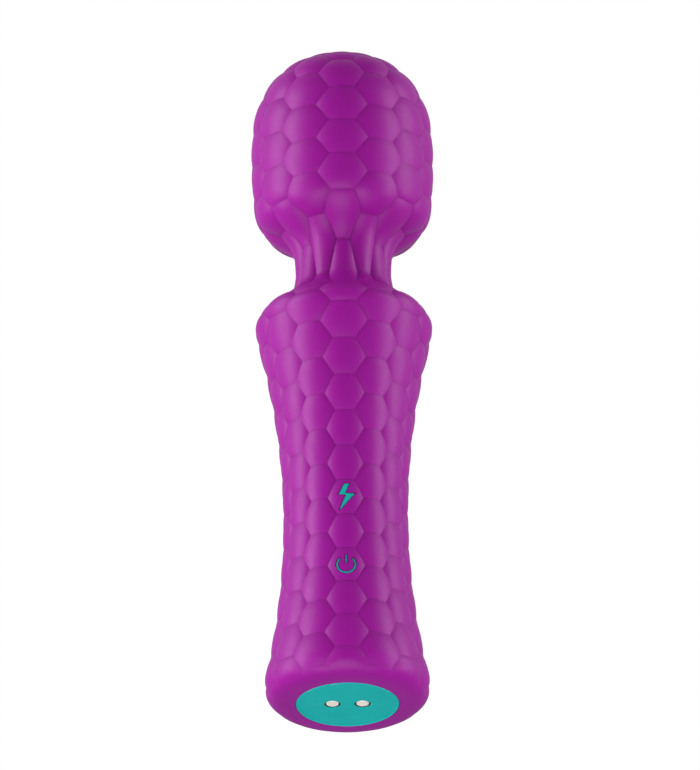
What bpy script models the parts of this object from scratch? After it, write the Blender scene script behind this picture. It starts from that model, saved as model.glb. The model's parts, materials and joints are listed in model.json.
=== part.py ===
"""Handheld wand massager: a scaled silicone skin over a split shell, a flexible neck and a motor head.

The wand is modelled upright, base at height 0 and buttons towards -Y. One parent empty then lays it on
its back, so that its length runs along Y, the base faces -Y and the buttons face up.
"""
import math

import bmesh
import bpy
import numpy as np
from mathutils import Vector

# All sizes are in metres. Heights are measured along the wand from its base.
CLEARANCE = 0.0003
RUNNING_CLEARANCE = 0.0001

# Outer form: the crest of the skin's scales
BASE_RADIUS = 0.02075
BASE_ROUND = 0.006
BASE_ROUND_POWER = 2.6
WAIST_RADIUS = 0.0158
WAIST_AT = 0.051
SHOULDER_RADIUS = 0.0225
SHOULDER_RISE = 0.052
SHOULDER_CAP = 0.009
NECK_RADIUS = 0.0124
NECK_LENGTH = 0.016
NECK_FILLET = 0.006
HEAD_FILLET = 0.010
SEAM_BELOW = 0.0003
HEAD_RADIUS = 0.0231
HEAD_UNDERSIDE = 0.0225
HEAD_UNDERSIDE_POWER = 4.0
HEAD_TOP = 0.0275
HEAD_TOP_POWER = 2.5
SKIN = 0.0023

# Scales: hexagons in columns round the wand, every other column half a row up
COLUMNS = 14
HANDLE_ROWS = 10
NECK_ROWS = 3
HEAD_ROWS = 4
FIRST_ROW_AT = 0.0070
SHOULDER_ROW_BELOW = 0.0017
HEAD_ROW_BELOW = 0.0174
HEAD_ROW_PITCH = 0.0095
CREASE_DEPTH = 0.0004
CORNER_DEPTH = 0.0005
CREASE_FADE = 0.009

# Base: charging plate, contacts, magnets and seal
PLATE_RADIUS = 0.01285
PLATE_THICKNESS = 0.0024
PLATE_EDGE = 0.0004
SPIGOT_RADIUS = 0.0104
SPIGOT_WALL = 0.0014
SEAL_RADIUS = 0.0005
CONTACT_PITCH = 0.0075
CONTACT_RADIUS = 0.0018
CONTACT_RECESS = 0.0003
CONTACT_FLANGE = 0.0006
CONTACT_FLANGE_RADIUS = 0.0026
CONTACT_TAIL_RADIUS = 0.0008
CONTACT_TAIL_OUT = 0.0004
MAGNET_RADIUS = 0.0024
MAGNET_THICKNESS = 0.0020
MAGNET_OFFSET = 0.0050
CHARGE_BOARD = 0.0008

# Handle shell, and the screws that close it
SHELL_WALL = 0.0014
SHELL_FLOOR = 0.0020
SHELL_TOP_WALL = 0.0024
CEILING_ABOVE_SHOULDER = 0.0015
SHELF = 0.0020
SHELF_HOLE = 0.0060
BOSS_RADIUS = 0.0024
LOWER_SCREW_AT = 0.0140
UPPER_SCREW_BELOW = 0.0125
SCREW_FROM_WALL = 0.0030
SCREW_RADIUS = 0.0010
SCREW_LENGTH = 0.0110
SCREW_HEAD = 0.0014
SCREW_HEAD_RADIUS = 0.0019
SCREW_SEAT = 0.0040

# Buttons and their switches
POWER_ROW = 2
BOOST_ROW = 4
BUTTON_STROKE = 0.0005
SYMBOL_THICKNESS = 0.00035
PAD_TOP_SHARE = 0.55
PAD_FLOOR_SHARE = 0.45
KEY_RADIUS = 0.0022
KEY_FLANGE = 0.0006
KEY_FLANGE_RADIUS = 0.0032
KEY_FOOT = 0.0004
PLUNGER_RADIUS = 0.0011
PLUNGER_OUT = 0.0008
PLUNGER_IN = 0.0004
SWITCH_WIDTH = 0.0045
SWITCH_HEIGHT = 0.0016
BOLT_HEIGHT = 0.0070
BOLT_WIDTH = 0.0042
RING_SYMBOL_RADIUS = 0.0021
RING_SYMBOL_OPENING = math.radians(40.0)
SYMBOL_STROKE = 0.0006

# Board, battery and leads
BOARD_THICKNESS = 0.0010
BOARD_WIDTH = 0.0150
BOARD_FROM = 0.0190
BOARD_LENGTH = 0.0570
BOARD_SCREW_INSET = 0.0035
BOARD_BOSS_RADIUS = 0.0022
BOARD_SCREW_RADIUS = 0.0008
BOARD_SCREW_HEAD = 0.0008
BOARD_SCREW_HEAD_RADIUS = 0.0016
BOARD_SCREW_LENGTH = 0.0040
BATTERY_FROM = 0.0245
BATTERY_LENGTH = 0.0490
BATTERY_CAP = 0.0008
BATTERY_CAP_RADIUS = 0.0025
BATTERY_PAD = 0.0012
BATTERY_PAD_WIDTH = 0.0060
BATTERY_PAD_LENGTH = 0.0300
LEAD_RADIUS = 0.0006
LEAD_BEND = 0.0012
NEGATIVE_PAD_OUT = 0.0034
CHARGE_PAD_OUT = 0.0056
MOTOR_PAD_OUT = 0.0042

# Neck core
CORE_BORE = 0.0045
CORE_FLANGE = 0.0030
CORE_FLANGE_RADIUS = 0.0128

# Head frame and motor
FRAME_WALL = 0.0018
FRAME_ABOVE_NECK = 0.0040
FRAME_FLOOR = 0.0019
FRAME_SHELF = 0.0016
MOTOR_RADIUS = 0.0115
MOTOR_LENGTH = 0.0200
CAN_WALL = 0.0009
CAN_TOP_WALL = 0.0012
END_BELL = 0.0013
TERMINAL_LENGTH = 0.0020
TERMINAL_WIDTH = 0.0020
TERMINAL_THICKNESS = 0.0006
TERMINAL_OUT = 0.0040
SHAFT_RADIUS = 0.0010
BUSH_WALL = 0.0016
BUSH_LENGTH = 0.0016
STATOR_MAGNET = 0.0022
STATOR_MAGNET_ARC = math.radians(130.0)
STATOR_MAGNET_LENGTH = 0.0120
ARMATURE_LENGTH = 0.0100
ARMATURE_GAP = 0.0006
POLE_COUNT = 3
POLE_SLOT = math.radians(18.0)
POLE_RIM = 0.0016
POLE_WEB = 0.0016
RING_THICKNESS = 0.0024
RING_HEIGHT = 0.0035
RING_INSET = 0.0015
RIB_MARGIN = 0.0010
WEIGHT_GAP = 0.0020
WEIGHT_HEIGHT = 0.0060
WEIGHT_RADIUS = 0.0084
WEIGHT_HUB_RADIUS = 0.0030
WEIGHT_HALF_ARC = math.radians(78.0)
WEIGHT_HUB_ARC = math.radians(75.0)

# Facets: three round each column of scales
RING_STEPS = 3 * COLUMNS
SHELL_STEPS = 2 * COLUMNS
SMALL_STEPS = 14
TINY_STEPS = 10

# Places that follow from the sizes
SHOULDER_AT = WAIST_AT + SHOULDER_RISE
NECK_FROM = SHOULDER_AT + SHOULDER_CAP
NECK_TO = NECK_FROM + NECK_LENGTH
HEAD_AT = NECK_TO + HEAD_UNDERSIDE
LENGTH = HEAD_AT + HEAD_TOP
TILT_AT = NECK_FROM + 0.25 * NECK_LENGTH
SWAY_AT = NECK_FROM + 0.75 * NECK_LENGTH
SHELL_INSET = SKIN + CLEARANCE
BAY_INSET = SHELL_INSET + SHELL_WALL
SHELL_BASE_AT = PLATE_THICKNESS + 2.0 * (SEAL_RADIUS + 0.5 * CLEARANCE) + 0.5 * CLEARANCE
SHELL_FLOOR_AT = SHELL_BASE_AT + SHELL_FLOOR
CEILING_AT = SHOULDER_AT + CEILING_ABOVE_SHOULDER
SHELL_TOP_AT = CEILING_AT + SHELL_TOP_WALL
CORE_RADIUS = NECK_RADIUS - SHELL_INSET
CORE_HOLE = CORE_RADIUS + CLEARANCE
HANDLE_FLANGE_TO = CEILING_AT - CLEARANCE
HANDLE_FLANGE_FROM = HANDLE_FLANGE_TO - CORE_FLANGE
SHELF_AT = HANDLE_FLANGE_FROM - CLEARANCE
BAY_TO = SHELF_AT - SHELF
FRAME_BOTTOM_AT = NECK_TO + FRAME_ABOVE_NECK
HEAD_FLANGE_FROM = FRAME_BOTTOM_AT + FRAME_FLOOR + CLEARANCE
HEAD_FLANGE_TO = HEAD_FLANGE_FROM + CORE_FLANGE
FRAME_SHELF_AT = HEAD_FLANGE_TO + CLEARANCE
MOTOR_BAY_FROM = FRAME_SHELF_AT + FRAME_SHELF
FRAME_INSET = SHELL_INSET + FRAME_WALL
END_BELL_AT = MOTOR_BAY_FROM + TERMINAL_LENGTH + 2.0 * CLEARANCE
CAN_FROM = END_BELL_AT + END_BELL + CLEARANCE
CAN_TO = CAN_FROM + MOTOR_LENGTH
WEIGHT_FROM = CAN_TO + WEIGHT_GAP
WEIGHT_TO = WEIGHT_FROM + WEIGHT_HEIGHT
UPPER_SCREW_AT = SHOULDER_AT - UPPER_SCREW_BELOW
FRAME_SCREW_AT = 0.5 * (CAN_FROM + CAN_TO)
FRAME_SCREW_OUT = MOTOR_RADIUS + CLEARANCE + BOSS_RADIUS
SLEEVE_TOP_AT = NECK_FROM - SEAM_BELOW
BEHIND_PLATE = PLATE_THICKNESS + CLEARANCE
CHARGE_BOARD_FROM = BEHIND_PLATE + max(MAGNET_THICKNESS, CONTACT_FLANGE) + CLEARANCE
CHARGE_BOARD_TO = CHARGE_BOARD_FROM + CHARGE_BOARD
BOARD_TO = BOARD_FROM + BOARD_LENGTH
BOARD_SCREWS = {"lower": BOARD_FROM + BOARD_SCREW_INSET, "upper": BOARD_TO - BOARD_SCREW_INSET}
BATTERY_TO = BATTERY_FROM + BATTERY_LENGTH
TERMINAL_AT = END_BELL_AT - CLEARANCE - TERMINAL_LENGTH
LOWER_RING_AT = CAN_FROM + RING_INSET
UPPER_RING_AT = CAN_TO - RING_INSET - RING_HEIGHT
OUTSIDE = 0.04
TO_REAR = (math.radians(-90.0), 0.0, 0.0)
TO_FRONT = (math.radians(90.0), 0.0, 0.0)

# Colour, roughness and metallic value of each finish
FINISHES = {
    "purple_silicone": ((0.30, 0.010, 0.27), 0.55, 0.0),
    "teal_plastic": ((0.010, 0.33, 0.33), 0.40, 0.0),
    "teal_ink": ((0.010, 0.36, 0.34), 0.50, 0.0),
    "nickel": ((0.75, 0.68, 0.62), 0.30, 1.0),
    "shell_plastic": ((0.62, 0.62, 0.60), 0.50, 0.0),
    "key_plastic": ((0.80, 0.80, 0.78), 0.45, 0.0),
    "board_green": ((0.02, 0.16, 0.07), 0.45, 0.0),
    "black_plastic": ((0.02, 0.02, 0.02), 0.45, 0.0),
    "steel": ((0.55, 0.55, 0.56), 0.35, 1.0),
    "brass": ((0.70, 0.48, 0.20), 0.35, 1.0),
    "battery_wrap": ((0.03, 0.20, 0.42), 0.40, 0.0),
    "black_foam": ((0.03, 0.03, 0.03), 0.90, 0.0),
    "black_rubber": ((0.02, 0.02, 0.02), 0.75, 0.0),
    "red_wire": ((0.45, 0.02, 0.02), 0.45, 0.0),
    "black_wire": ((0.015, 0.015, 0.015), 0.45, 0.0),
    "ferrite": ((0.06, 0.06, 0.065), 0.60, 0.0),
    "tungsten": ((0.30, 0.30, 0.31), 0.40, 1.0),
}


# The outer form

def smooth_max(first, second, blend):
    """Larger of two radii, rounded where they are within the blend of each other."""
    near = max(blend - abs(first - second), 0.0) / blend
    return max(first, second) + 0.25 * blend * near * near


def round_off(run, reach, radius, power):
    """Radius of a rounded end, a distance run from its widest place."""
    share = min(run / reach, 1.0)
    return radius * (1.0 - share ** power) ** (1.0 / power)


def handle_radius(height):
    """Radius of the handle's crest, two parabolas that meet at the waist."""
    if height < BASE_ROUND:
        lift = round_off(BASE_ROUND - height, BASE_ROUND, BASE_ROUND, BASE_ROUND_POWER)
        return BASE_RADIUS - BASE_ROUND + lift
    if height < WAIST_AT:
        share = (WAIST_AT - height) / (WAIST_AT - BASE_ROUND)
        return WAIST_RADIUS + (BASE_RADIUS - WAIST_RADIUS) * share ** 2
    share = (height - WAIST_AT) / SHOULDER_RISE
    return WAIST_RADIUS + (SHOULDER_RADIUS - WAIST_RADIUS) * share ** 2


def outline_radius(height, inset=0.0):
    """Radius of the skin's crest at a height, or of a surface parallel to it and further in."""
    if height <= SHOULDER_AT:
        return handle_radius(height) - inset
    head = HEAD_RADIUS - inset
    if height >= HEAD_AT:
        return round_off(height - HEAD_AT, HEAD_TOP - inset, head, HEAD_TOP_POWER)
    cap = round_off(height - SHOULDER_AT, SHOULDER_CAP - inset, SHOULDER_RADIUS - inset, 2.0)
    under = round_off(HEAD_AT - height, HEAD_UNDERSIDE - inset, head, HEAD_UNDERSIDE_POWER)
    low = smooth_max(cap, NECK_RADIUS - inset, NECK_FILLET)
    return smooth_max(low, under, HEAD_FILLET)


def row_height(line):
    """Height of a line between rows of scales, counted from the base, also between two lines."""
    shoulder_line = HANDLE_ROWS
    head_line = shoulder_line + NECK_ROWS
    head_row_at = HEAD_AT - HEAD_ROW_BELOW
    top_at = head_row_at + HEAD_ROWS * HEAD_ROW_PITCH
    lines = [0, shoulder_line, head_line, head_line + HEAD_ROWS]
    places = [FIRST_ROW_AT, SHOULDER_AT - SHOULDER_ROW_BELOW, head_row_at, top_at]
    return float(np.interp(line, lines, places))


def crease(height, depth):
    """Depth of a crease between scales, which fades out towards the base."""
    share = min(max(height / CREASE_FADE, 0.0), 1.0)
    return depth * share * share * (3.0 - 2.0 * share)


def steps_between(start, stop, count):
    """Evenly spaced heights from start to stop."""
    return [float(value) for value in np.linspace(start, stop, count)]


def handle_levels():
    """Heights at which the shell and the inside of the skin both have a ring."""
    lower = steps_between(SHELL_BASE_AT, WAIST_AT, 4)
    middle = steps_between(WAIST_AT, SHOULDER_AT, 5)
    top = steps_between(SHOULDER_AT, SHELL_TOP_AT, 3)
    return lower + middle[1:] + top[1:]


def head_levels():
    """Heights at which the frame and the inside of the head's skin both have a ring."""
    lower = steps_between(FRAME_BOTTOM_AT, HEAD_AT, 4)
    share_of_top = [0.35, 0.62, 0.82, 0.94]
    upper = [HEAD_AT + share * (HEAD_TOP - SHELL_INSET) for share in share_of_top]
    return lower + upper


# Places that depend on the outer form

def tightest_wall(row):
    """Distance from the axis to the inside of the shell, over the width of a key's flange."""
    middle = row_height(row + 0.5)
    reach = (-KEY_FLANGE_RADIUS, 0.0, KEY_FLANGE_RADIUS)
    narrowest = min(outline_radius(middle + step, BAY_INSET) for step in reach)
    return math.sqrt(narrowest ** 2 - KEY_FLANGE_RADIUS ** 2)


BUTTONS = {"power": POWER_ROW, "boost": BOOST_ROW}
KEY_FOOT_AT = min(tightest_wall(row) for row in BUTTONS.values()) - CLEARANCE - KEY_FLANGE - KEY_FOOT
SWITCH_TOP = KEY_FOOT_AT - CLEARANCE - PLUNGER_OUT
BOARD_LEVEL = SWITCH_TOP - SWITCH_HEIGHT - CLEARANCE
BOARD_BACK = BOARD_LEVEL - BOARD_THICKNESS
REAR_WALL = outline_radius(WAIST_AT, BAY_INSET)
LOWER_SCREW_OUT = outline_radius(LOWER_SCREW_AT, BAY_INSET) - SCREW_FROM_WALL
UPPER_SCREW_OUT = outline_radius(UPPER_SCREW_AT, BAY_INSET) - SCREW_FROM_WALL
BATTERY_BEHIND = 0.5 * (REAR_WALL - BOARD_BACK)
BATTERY_RADIUS = 0.5 * (REAR_WALL + BOARD_BACK) - BATTERY_PAD - 2.0 * CLEARANCE


# Collections, materials and placing

def clear_scene():
    """Remove every object and make the collections for the parts and the cutters."""
    for item in list(bpy.data.objects):
        bpy.data.objects.remove(item, do_unlink=True)
    made = []
    for name in ("wand_massager", "wand_massager_cutters"):
        group = bpy.data.collections.new(name)
        bpy.context.scene.collection.children.link(group)
        made.append(group)
    return made


PARTS, CUTTERS = clear_scene()


def add_empty(name, height=0.0, front=0.0, parent=None):
    """Add an empty at a height, a distance in front of the wand's axis."""
    empty = bpy.data.objects.new(name, None)
    empty.empty_display_size = 0.01
    PARTS.objects.link(empty)
    if parent is not None:
        empty.parent = parent
    empty["upright"] = (0.0, -front, height)
    start = Vector(parent["upright"]) if parent is not None else Vector()
    empty.location = Vector(empty["upright"]) - start
    return empty


WAND = add_empty("wand")
WAND.rotation_euler = (math.radians(-90.0), 0.0, 0.0)
WAND.location = (0.0, -0.5 * LENGTH, HEAD_RADIUS)
NECK = add_empty("neck_pivot", TILT_AT, parent=WAND)
HEAD = add_empty("head_pivot", SWAY_AT, parent=NECK)
ROTOR = add_empty("rotor_pivot", FRAME_SCREW_AT, parent=HEAD)


def finish_object(item, finish):
    """Give an object its own material."""
    colour, roughness, metallic = FINISHES[finish]
    made = bpy.data.materials.new(item.name + "_" + finish)
    made.use_nodes = True
    shader = made.node_tree.nodes["Principled BSDF"]
    shader.inputs["Base Color"].default_value = (*colour, 1.0)
    shader.inputs["Roughness"].default_value = roughness
    shader.inputs["Metallic"].default_value = metallic
    item.data.materials.append(made)


def place(item, finish, parent, where=(0.0, 0.0, 0.0)):
    """Link an object as a part, or as a cutter where it has no finish, at an upright place."""
    is_part = finish is not None
    group = PARTS if is_part else CUTTERS
    group.objects.link(item)
    item.parent = parent
    item.location = Vector(where) - Vector(parent["upright"])
    if is_part:
        finish_object(item, finish)
    else:
        item.hide_render = True
        item.display_type = "WIRE"
    return item


def mesh_object(name, bm):
    """Turn a bmesh into an object with outward faces, smooth where it is round."""
    bmesh.ops.recalc_face_normals(bm, faces=bm.faces)
    mesh = bpy.data.meshes.new(name)
    bm.to_mesh(mesh)
    bm.free()
    mesh.shade_smooth()
    mesh.set_sharp_from_angle(angle=math.radians(40.0))
    return bpy.data.objects.new(name, mesh)


def cut(item, cutter):
    """Take a cutter's volume out of an object."""
    boolean = item.modifiers.new("cut_" + cutter.name, "BOOLEAN")
    boolean.operation = "DIFFERENCE"
    boolean.solver = "EXACT"
    boolean.object = cutter


# Shapes

def turned(name, profile, finish, parent=WAND, where=(0.0, 0.0, 0.0), ring=False, steps=SHELL_STEPS):
    """Turn a profile of (radius, height) points, given down its outer side, about the upright axis."""
    mesh = bpy.data.meshes.new(name)
    points = [(radius, 0.0, height) for radius, height in profile]
    edges = [(index, index + 1) for index in range(len(points) - 1)]
    if ring:
        edges.append((len(points) - 1, 0))
    mesh.from_pydata(points, edges, [])
    item = bpy.data.objects.new(name, mesh)
    screw = item.modifiers.new("turn", "SCREW")
    screw.axis = "Z"
    screw.steps = steps
    screw.render_steps = steps
    screw.use_merge_vertices = True
    screw.merge_threshold = 0.000001
    screw.use_smooth_shade = True
    return place(item, finish, parent, where)


def rod(name, radius, start, stop, finish, parent=WAND, steps=SMALL_STEPS):
    """Add a round rod between two upright points."""
    begin, end = Vector(start), Vector(stop)
    bm = bmesh.new()
    bmesh.ops.create_cone(
        bm, cap_ends=True, segments=steps, radius1=radius, radius2=radius, depth=(end - begin).length
    )
    item = mesh_object(name, bm)
    item.rotation_euler = (end - begin).to_track_quat("Z", "Y").to_euler()
    return place(item, finish, parent, 0.5 * (begin + end))


def block(name, low, high, finish, parent=WAND):
    """Add a box between two upright corners."""
    low, high = Vector(low), Vector(high)
    bm = bmesh.new()
    bmesh.ops.create_cube(bm, size=1.0)
    bmesh.ops.scale(bm, vec=high - low, verts=bm.verts)
    return place(mesh_object(name, bm), finish, parent, 0.5 * (low + high))


def loft(name, loops, finish, parent=WAND, where=(0.0, 0.0, 0.0)):
    """Join loops of equally many points into a closed body with flat ends."""
    bm = bmesh.new()
    rings = [[bm.verts.new(point) for point in loop] for loop in loops]
    for lower, upper in zip(rings, rings[1:]):
        bridge(bm, lower, upper)
    bm.faces.new(rings[0])
    bm.faces.new(rings[-1])
    return place(mesh_object(name, bm), finish, parent, where)


def bridge(bm, lower, upper):
    """Join two closed rings of vertices by faces. A ring of one vertex is a pole."""
    count = max(len(lower), len(upper))
    for index in range(count):
        after = (index + 1) % count
        corners = [lower[index % len(lower)], lower[after % len(lower)]]
        corners += [upper[after % len(upper)], upper[index % len(upper)]]
        bm.faces.new(list(dict.fromkeys(corners)))


def flat_outline(name, outlines, thickness, finish, parent, where, facing_front=False):
    """Add a flat piece from closed outlines, standing towards the front or lying across the wand."""
    curve = bpy.data.curves.new(name, "CURVE")
    curve.dimensions = "2D"
    curve.fill_mode = "BOTH"
    curve.extrude = 0.5 * thickness
    for outline in outlines:
        spline = curve.splines.new("POLY")
        spline.points.add(len(outline) - 1)
        for point, (across, up) in zip(spline.points, outline):
            point.co = (across, up, 0.0, 1.0)
        spline.use_cyclic_u = True
    item = bpy.data.objects.new(name, curve)
    if facing_front:
        item.rotation_euler = (math.radians(90.0), 0.0, 0.0)
    return place(item, finish, parent, where)


def lead(name, points, finish, parent):
    """Add an insulated wire through upright points."""
    start = Vector(parent["upright"])
    curve = bpy.data.curves.new(name, "CURVE")
    curve.dimensions = "3D"
    curve.bevel_depth = LEAD_RADIUS
    curve.bevel_resolution = 2
    curve.use_fill_caps = True
    spline = curve.splines.new("POLY")
    spline.points.add(len(points) - 1)
    for point, where in zip(spline.points, points):
        point.co = (*(Vector(where) - start), 1.0)
    item = bpy.data.objects.new(name, curve)
    return place(item, finish, parent, start)


def arc(radius, start, stop, count):
    """Points on a circle from one angle to another."""
    turns = np.linspace(start, stop, count)
    return [(radius * math.cos(turn), radius * math.sin(turn)) for turn in turns]


def full_circle(radius, count=SMALL_STEPS):
    """Points round a whole circle."""
    return arc(radius, 0.0, 2.0 * math.pi, count + 1)[:-1]


def round_wand(radius, step, height):
    """Place on the wand, counted in ring steps from the button side."""
    turn = 2.0 * math.pi * step / RING_STEPS
    return Vector((radius * math.sin(turn), -radius * math.cos(turn), height))


# Scaled skin

def plain_ring(bm, radius, height):
    """Add one ring of vertices, or a single vertex on the axis."""
    if radius <= 0.0:
        return [bm.verts.new((0.0, 0.0, height))]
    return [bm.verts.new(round_wand(radius, step, height)) for step in range(RING_STEPS)]


def scale_patch(bm, first, last):
    """Add whole hexagon scales between two row lines, and return the patch's two edge rings."""
    corners = {}
    for column in range(COLUMNS):
        shift = 0.5 * (column % 2)
        for line in np.arange(first + shift, last - shift + 0.25):
            height = row_height(line)
            for side in (-1, 0, 1):
                depth = crease(height, CORNER_DEPTH if side else CREASE_DEPTH)
                step = 3 * column + side
                where = round_wand(outline_radius(height) - depth, step, height)
                corners[step % RING_STEPS, line] = bm.verts.new(where)
    for column in range(COLUMNS):
        shift = 0.5 * (column % 2)
        for line in np.arange(first + shift, last - shift - 0.75):
            height = row_height(line + 0.5)
            middle = bm.verts.new(round_wand(outline_radius(height), 3 * column, height))
            places = [(-1, 0.0), (0, 0.0), (1, 0.0), (2, 0.5), (1, 1.0), (0, 1.0), (-1, 1.0), (-2, 0.5)]
            rim = [corners[(3 * column + side) % RING_STEPS, line + up] for side, up in places]
            for index, vertex in enumerate(rim):
                bm.faces.new((middle, vertex, rim[(index + 1) % len(rim)]))
    edges = []
    for base_line, direction in ((first, 1.0), (last, -1.0)):
        ring = []
        for step in range(RING_STEPS):
            column = ((step + 1) // 3) % COLUMNS
            ring.append(corners[step, base_line + direction * 0.5 * (column % 2)])
        edges.append(ring)
    return edges


def scaled_skin(name, below, first, last, above, inside, parent):
    """Make a skin: plain rings, a patch of scales, plain rings, and the rings of its inside."""
    bm = bmesh.new()
    lower = [plain_ring(bm, radius, height) for radius, height in below]
    low_edge, high_edge = scale_patch(bm, first, last)
    upper = [plain_ring(bm, radius, height) for radius, height in above]
    outer = lower + [low_edge]
    inner = [plain_ring(bm, radius, height) for radius, height in inside]
    for first_ring, second_ring in zip(outer, outer[1:]):
        bridge(bm, first_ring, second_ring)
    rest = [high_edge] + upper
    for first_ring, second_ring in zip(rest, rest[1:]):
        bridge(bm, first_ring, second_ring)
    for first_ring, second_ring in zip(inner, inner[1:]):
        bridge(bm, first_ring, second_ring)
    if len(upper[-1]) > 1:
        bridge(bm, upper[-1], inner[0])
    bridge(bm, inner[-1], lower[0])
    return place(mesh_object(name, bm), "purple_silicone", parent)


def make_handle_sleeve():
    """Skin of the handle, from the base opening to the foot of the neck."""
    opening = PLATE_RADIUS + CLEARANCE
    below = [(opening, 0.0)]
    for share in (0.0, 0.05, 0.25, 0.6, 0.97):
        below.append((outline_radius(share * BASE_ROUND), share * BASE_ROUND))
    above = []
    for height in steps_between(SHOULDER_AT + 0.1 * SHOULDER_CAP, SLEEVE_TOP_AT, 5):
        above.append((outline_radius(height), height))
    levels = handle_levels()
    levels[0] -= CLEARANCE
    levels[-1] += CLEARANCE
    inside = [(CORE_HOLE, above[-1][1]), (CORE_HOLE, levels[-1])]
    inside += [(outline_radius(height, SKIN), height) for height in reversed(levels)]
    inside.append((opening, levels[0]))
    return scaled_skin("handle_sleeve", below, 0, HANDLE_ROWS, above, inside, WAND)


def make_head_sleeve():
    """Skin of the head, closed at the top and open at the neck."""
    below = []
    for height in steps_between(NECK_TO + CLEARANCE, FRAME_BOTTOM_AT, 4):
        below.append((outline_radius(height), height))
    above = []
    for share in (0.84, 0.93, 0.98):
        height = HEAD_AT + share * HEAD_TOP
        above.append((outline_radius(height), height))
    above.append((0.0, LENGTH))
    levels = head_levels()
    levels[0] -= CLEARANCE
    inside = [(0.0, LENGTH - SKIN)]
    inside += [(outline_radius(height, SKIN), height) for height in reversed(levels)]
    inside += [(CORE_HOLE, levels[0]), (CORE_HOLE, below[0][1])]
    first = HANDLE_ROWS + NECK_ROWS
    return scaled_skin("head_sleeve", below, first, first + HEAD_ROWS, above, inside, HEAD)


def make_neck():
    """Flexible neck: its skin, and the rubber core that the shell and the frame hold by its flanges."""
    heights = steps_between(NECK_TO - CLEARANCE, SLEEVE_TOP_AT + CLEARANCE, 6)
    profile = [(outline_radius(height), height) for height in heights]
    profile += [(CORE_HOLE, heights[-1]), (CORE_HOLE, heights[0])]
    turned("neck_sleeve", profile, "purple_silicone", NECK, ring=True, steps=RING_STEPS)
    core = [
        (CORE_FLANGE_RADIUS, HEAD_FLANGE_TO),
        (CORE_FLANGE_RADIUS, HEAD_FLANGE_FROM),
        (CORE_RADIUS, HEAD_FLANGE_FROM),
        (CORE_RADIUS, HANDLE_FLANGE_TO),
        (CORE_FLANGE_RADIUS, HANDLE_FLANGE_TO),
        (CORE_FLANGE_RADIUS, HANDLE_FLANGE_FROM),
        (CORE_BORE, HANDLE_FLANGE_FROM),
        (CORE_BORE, HEAD_FLANGE_TO),
    ]
    turned("neck_core", core, "black_rubber", NECK, ring=True)


# Base

def make_base():
    """Charging plate with its contacts, magnets, small board and seal."""
    spigot_inside = SPIGOT_RADIUS - SPIGOT_WALL
    spigot_to = CHARGE_BOARD_TO + CONTACT_TAIL_OUT
    plate = turned("charge_plate", [
        (0.0, PLATE_THICKNESS),
        (spigot_inside, PLATE_THICKNESS),
        (spigot_inside, spigot_to),
        (SPIGOT_RADIUS, spigot_to),
        (SPIGOT_RADIUS, PLATE_THICKNESS),
        (PLATE_RADIUS, PLATE_THICKNESS),
        (PLATE_RADIUS, PLATE_EDGE),
        (PLATE_RADIUS - PLATE_EDGE, 0.0),
        (0.0, 0.0),
    ], "teal_plastic")
    board = rod(
        "charge_board", spigot_inside - CLEARANCE, (0.0, 0.0, CHARGE_BOARD_FROM),
        (0.0, 0.0, CHARGE_BOARD_TO), "board_green", steps=SHELL_STEPS,
    )
    for name, side in (("left", -1.0), ("right", 1.0)):
        across = side * 0.5 * CONTACT_PITCH
        turned("charge_contact_" + name, [
            (0.0, CHARGE_BOARD_TO + CONTACT_TAIL_OUT),
            (CONTACT_TAIL_RADIUS, CHARGE_BOARD_TO + CONTACT_TAIL_OUT),
            (CONTACT_TAIL_RADIUS, BEHIND_PLATE + CONTACT_FLANGE),
            (CONTACT_FLANGE_RADIUS, BEHIND_PLATE + CONTACT_FLANGE),
            (CONTACT_FLANGE_RADIUS, BEHIND_PLATE),
            (CONTACT_RADIUS, BEHIND_PLATE),
            (CONTACT_RADIUS, CONTACT_RECESS),
            (0.0, CONTACT_RECESS),
        ], "nickel", where=(across, 0.0, 0.0), steps=SMALL_STEPS)
        for item, radius in ((plate, CONTACT_RADIUS), (board, CONTACT_TAIL_RADIUS)):
            low = (across, 0.0, -PLATE_THICKNESS)
            high = (across, 0.0, 2.0 * CHARGE_BOARD_TO)
            hole = rod(item.name + "_hole_" + name, radius + CLEARANCE, low, high, None)
            cut(item, hole)
    for name, side in (("front", -1.0), ("rear", 1.0)):
        low = (0.0, side * MAGNET_OFFSET, BEHIND_PLATE)
        high = (0.0, side * MAGNET_OFFSET, BEHIND_PLATE + MAGNET_THICKNESS)
        rod("charge_magnet_" + name, MAGNET_RADIUS, low, high, "nickel")
    middle = SPIGOT_RADIUS + SEAL_RADIUS + CLEARANCE
    height = PLATE_THICKNESS + SEAL_RADIUS + 0.5 * CLEARANCE
    section = reversed(full_circle(SEAL_RADIUS, 6))
    ring = [(middle + across, height + up) for across, up in section]
    turned("base_seal_ring", ring, "black_rubber", ring=True)


# Split shells and their screws

def make_screw(name, where, radius, length, head_radius, head, seat, parent=WAND):
    """Screw whose head, towards the rear, stands on a seat a distance behind the wand's axis."""
    under = seat + CLEARANCE
    item = turned(name, [
        (0.0, under + head),
        (head_radius, under + head),
        (head_radius, under),
        (radius, under),
        (radius, under - length),
        (0.0, under - length),
    ], "steel", parent, where, steps=TINY_STEPS)
    item.rotation_euler = TO_REAR
    return item


def screw_hole(name, where, radius, length, head_radius, seat, parent=WAND):
    """Cutter for a screw: its own length with clearance, and a wider bore behind its seat."""
    item = turned(name, [
        (0.0, OUTSIDE),
        (head_radius + CLEARANCE, OUTSIDE),
        (head_radius + CLEARANCE, seat),
        (radius + CLEARANCE, seat),
        (radius + CLEARANCE, seat - length),
        (0.0, seat - length),
    ], None, parent, where, steps=TINY_STEPS)
    item.rotation_euler = TO_REAR
    return item


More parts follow.
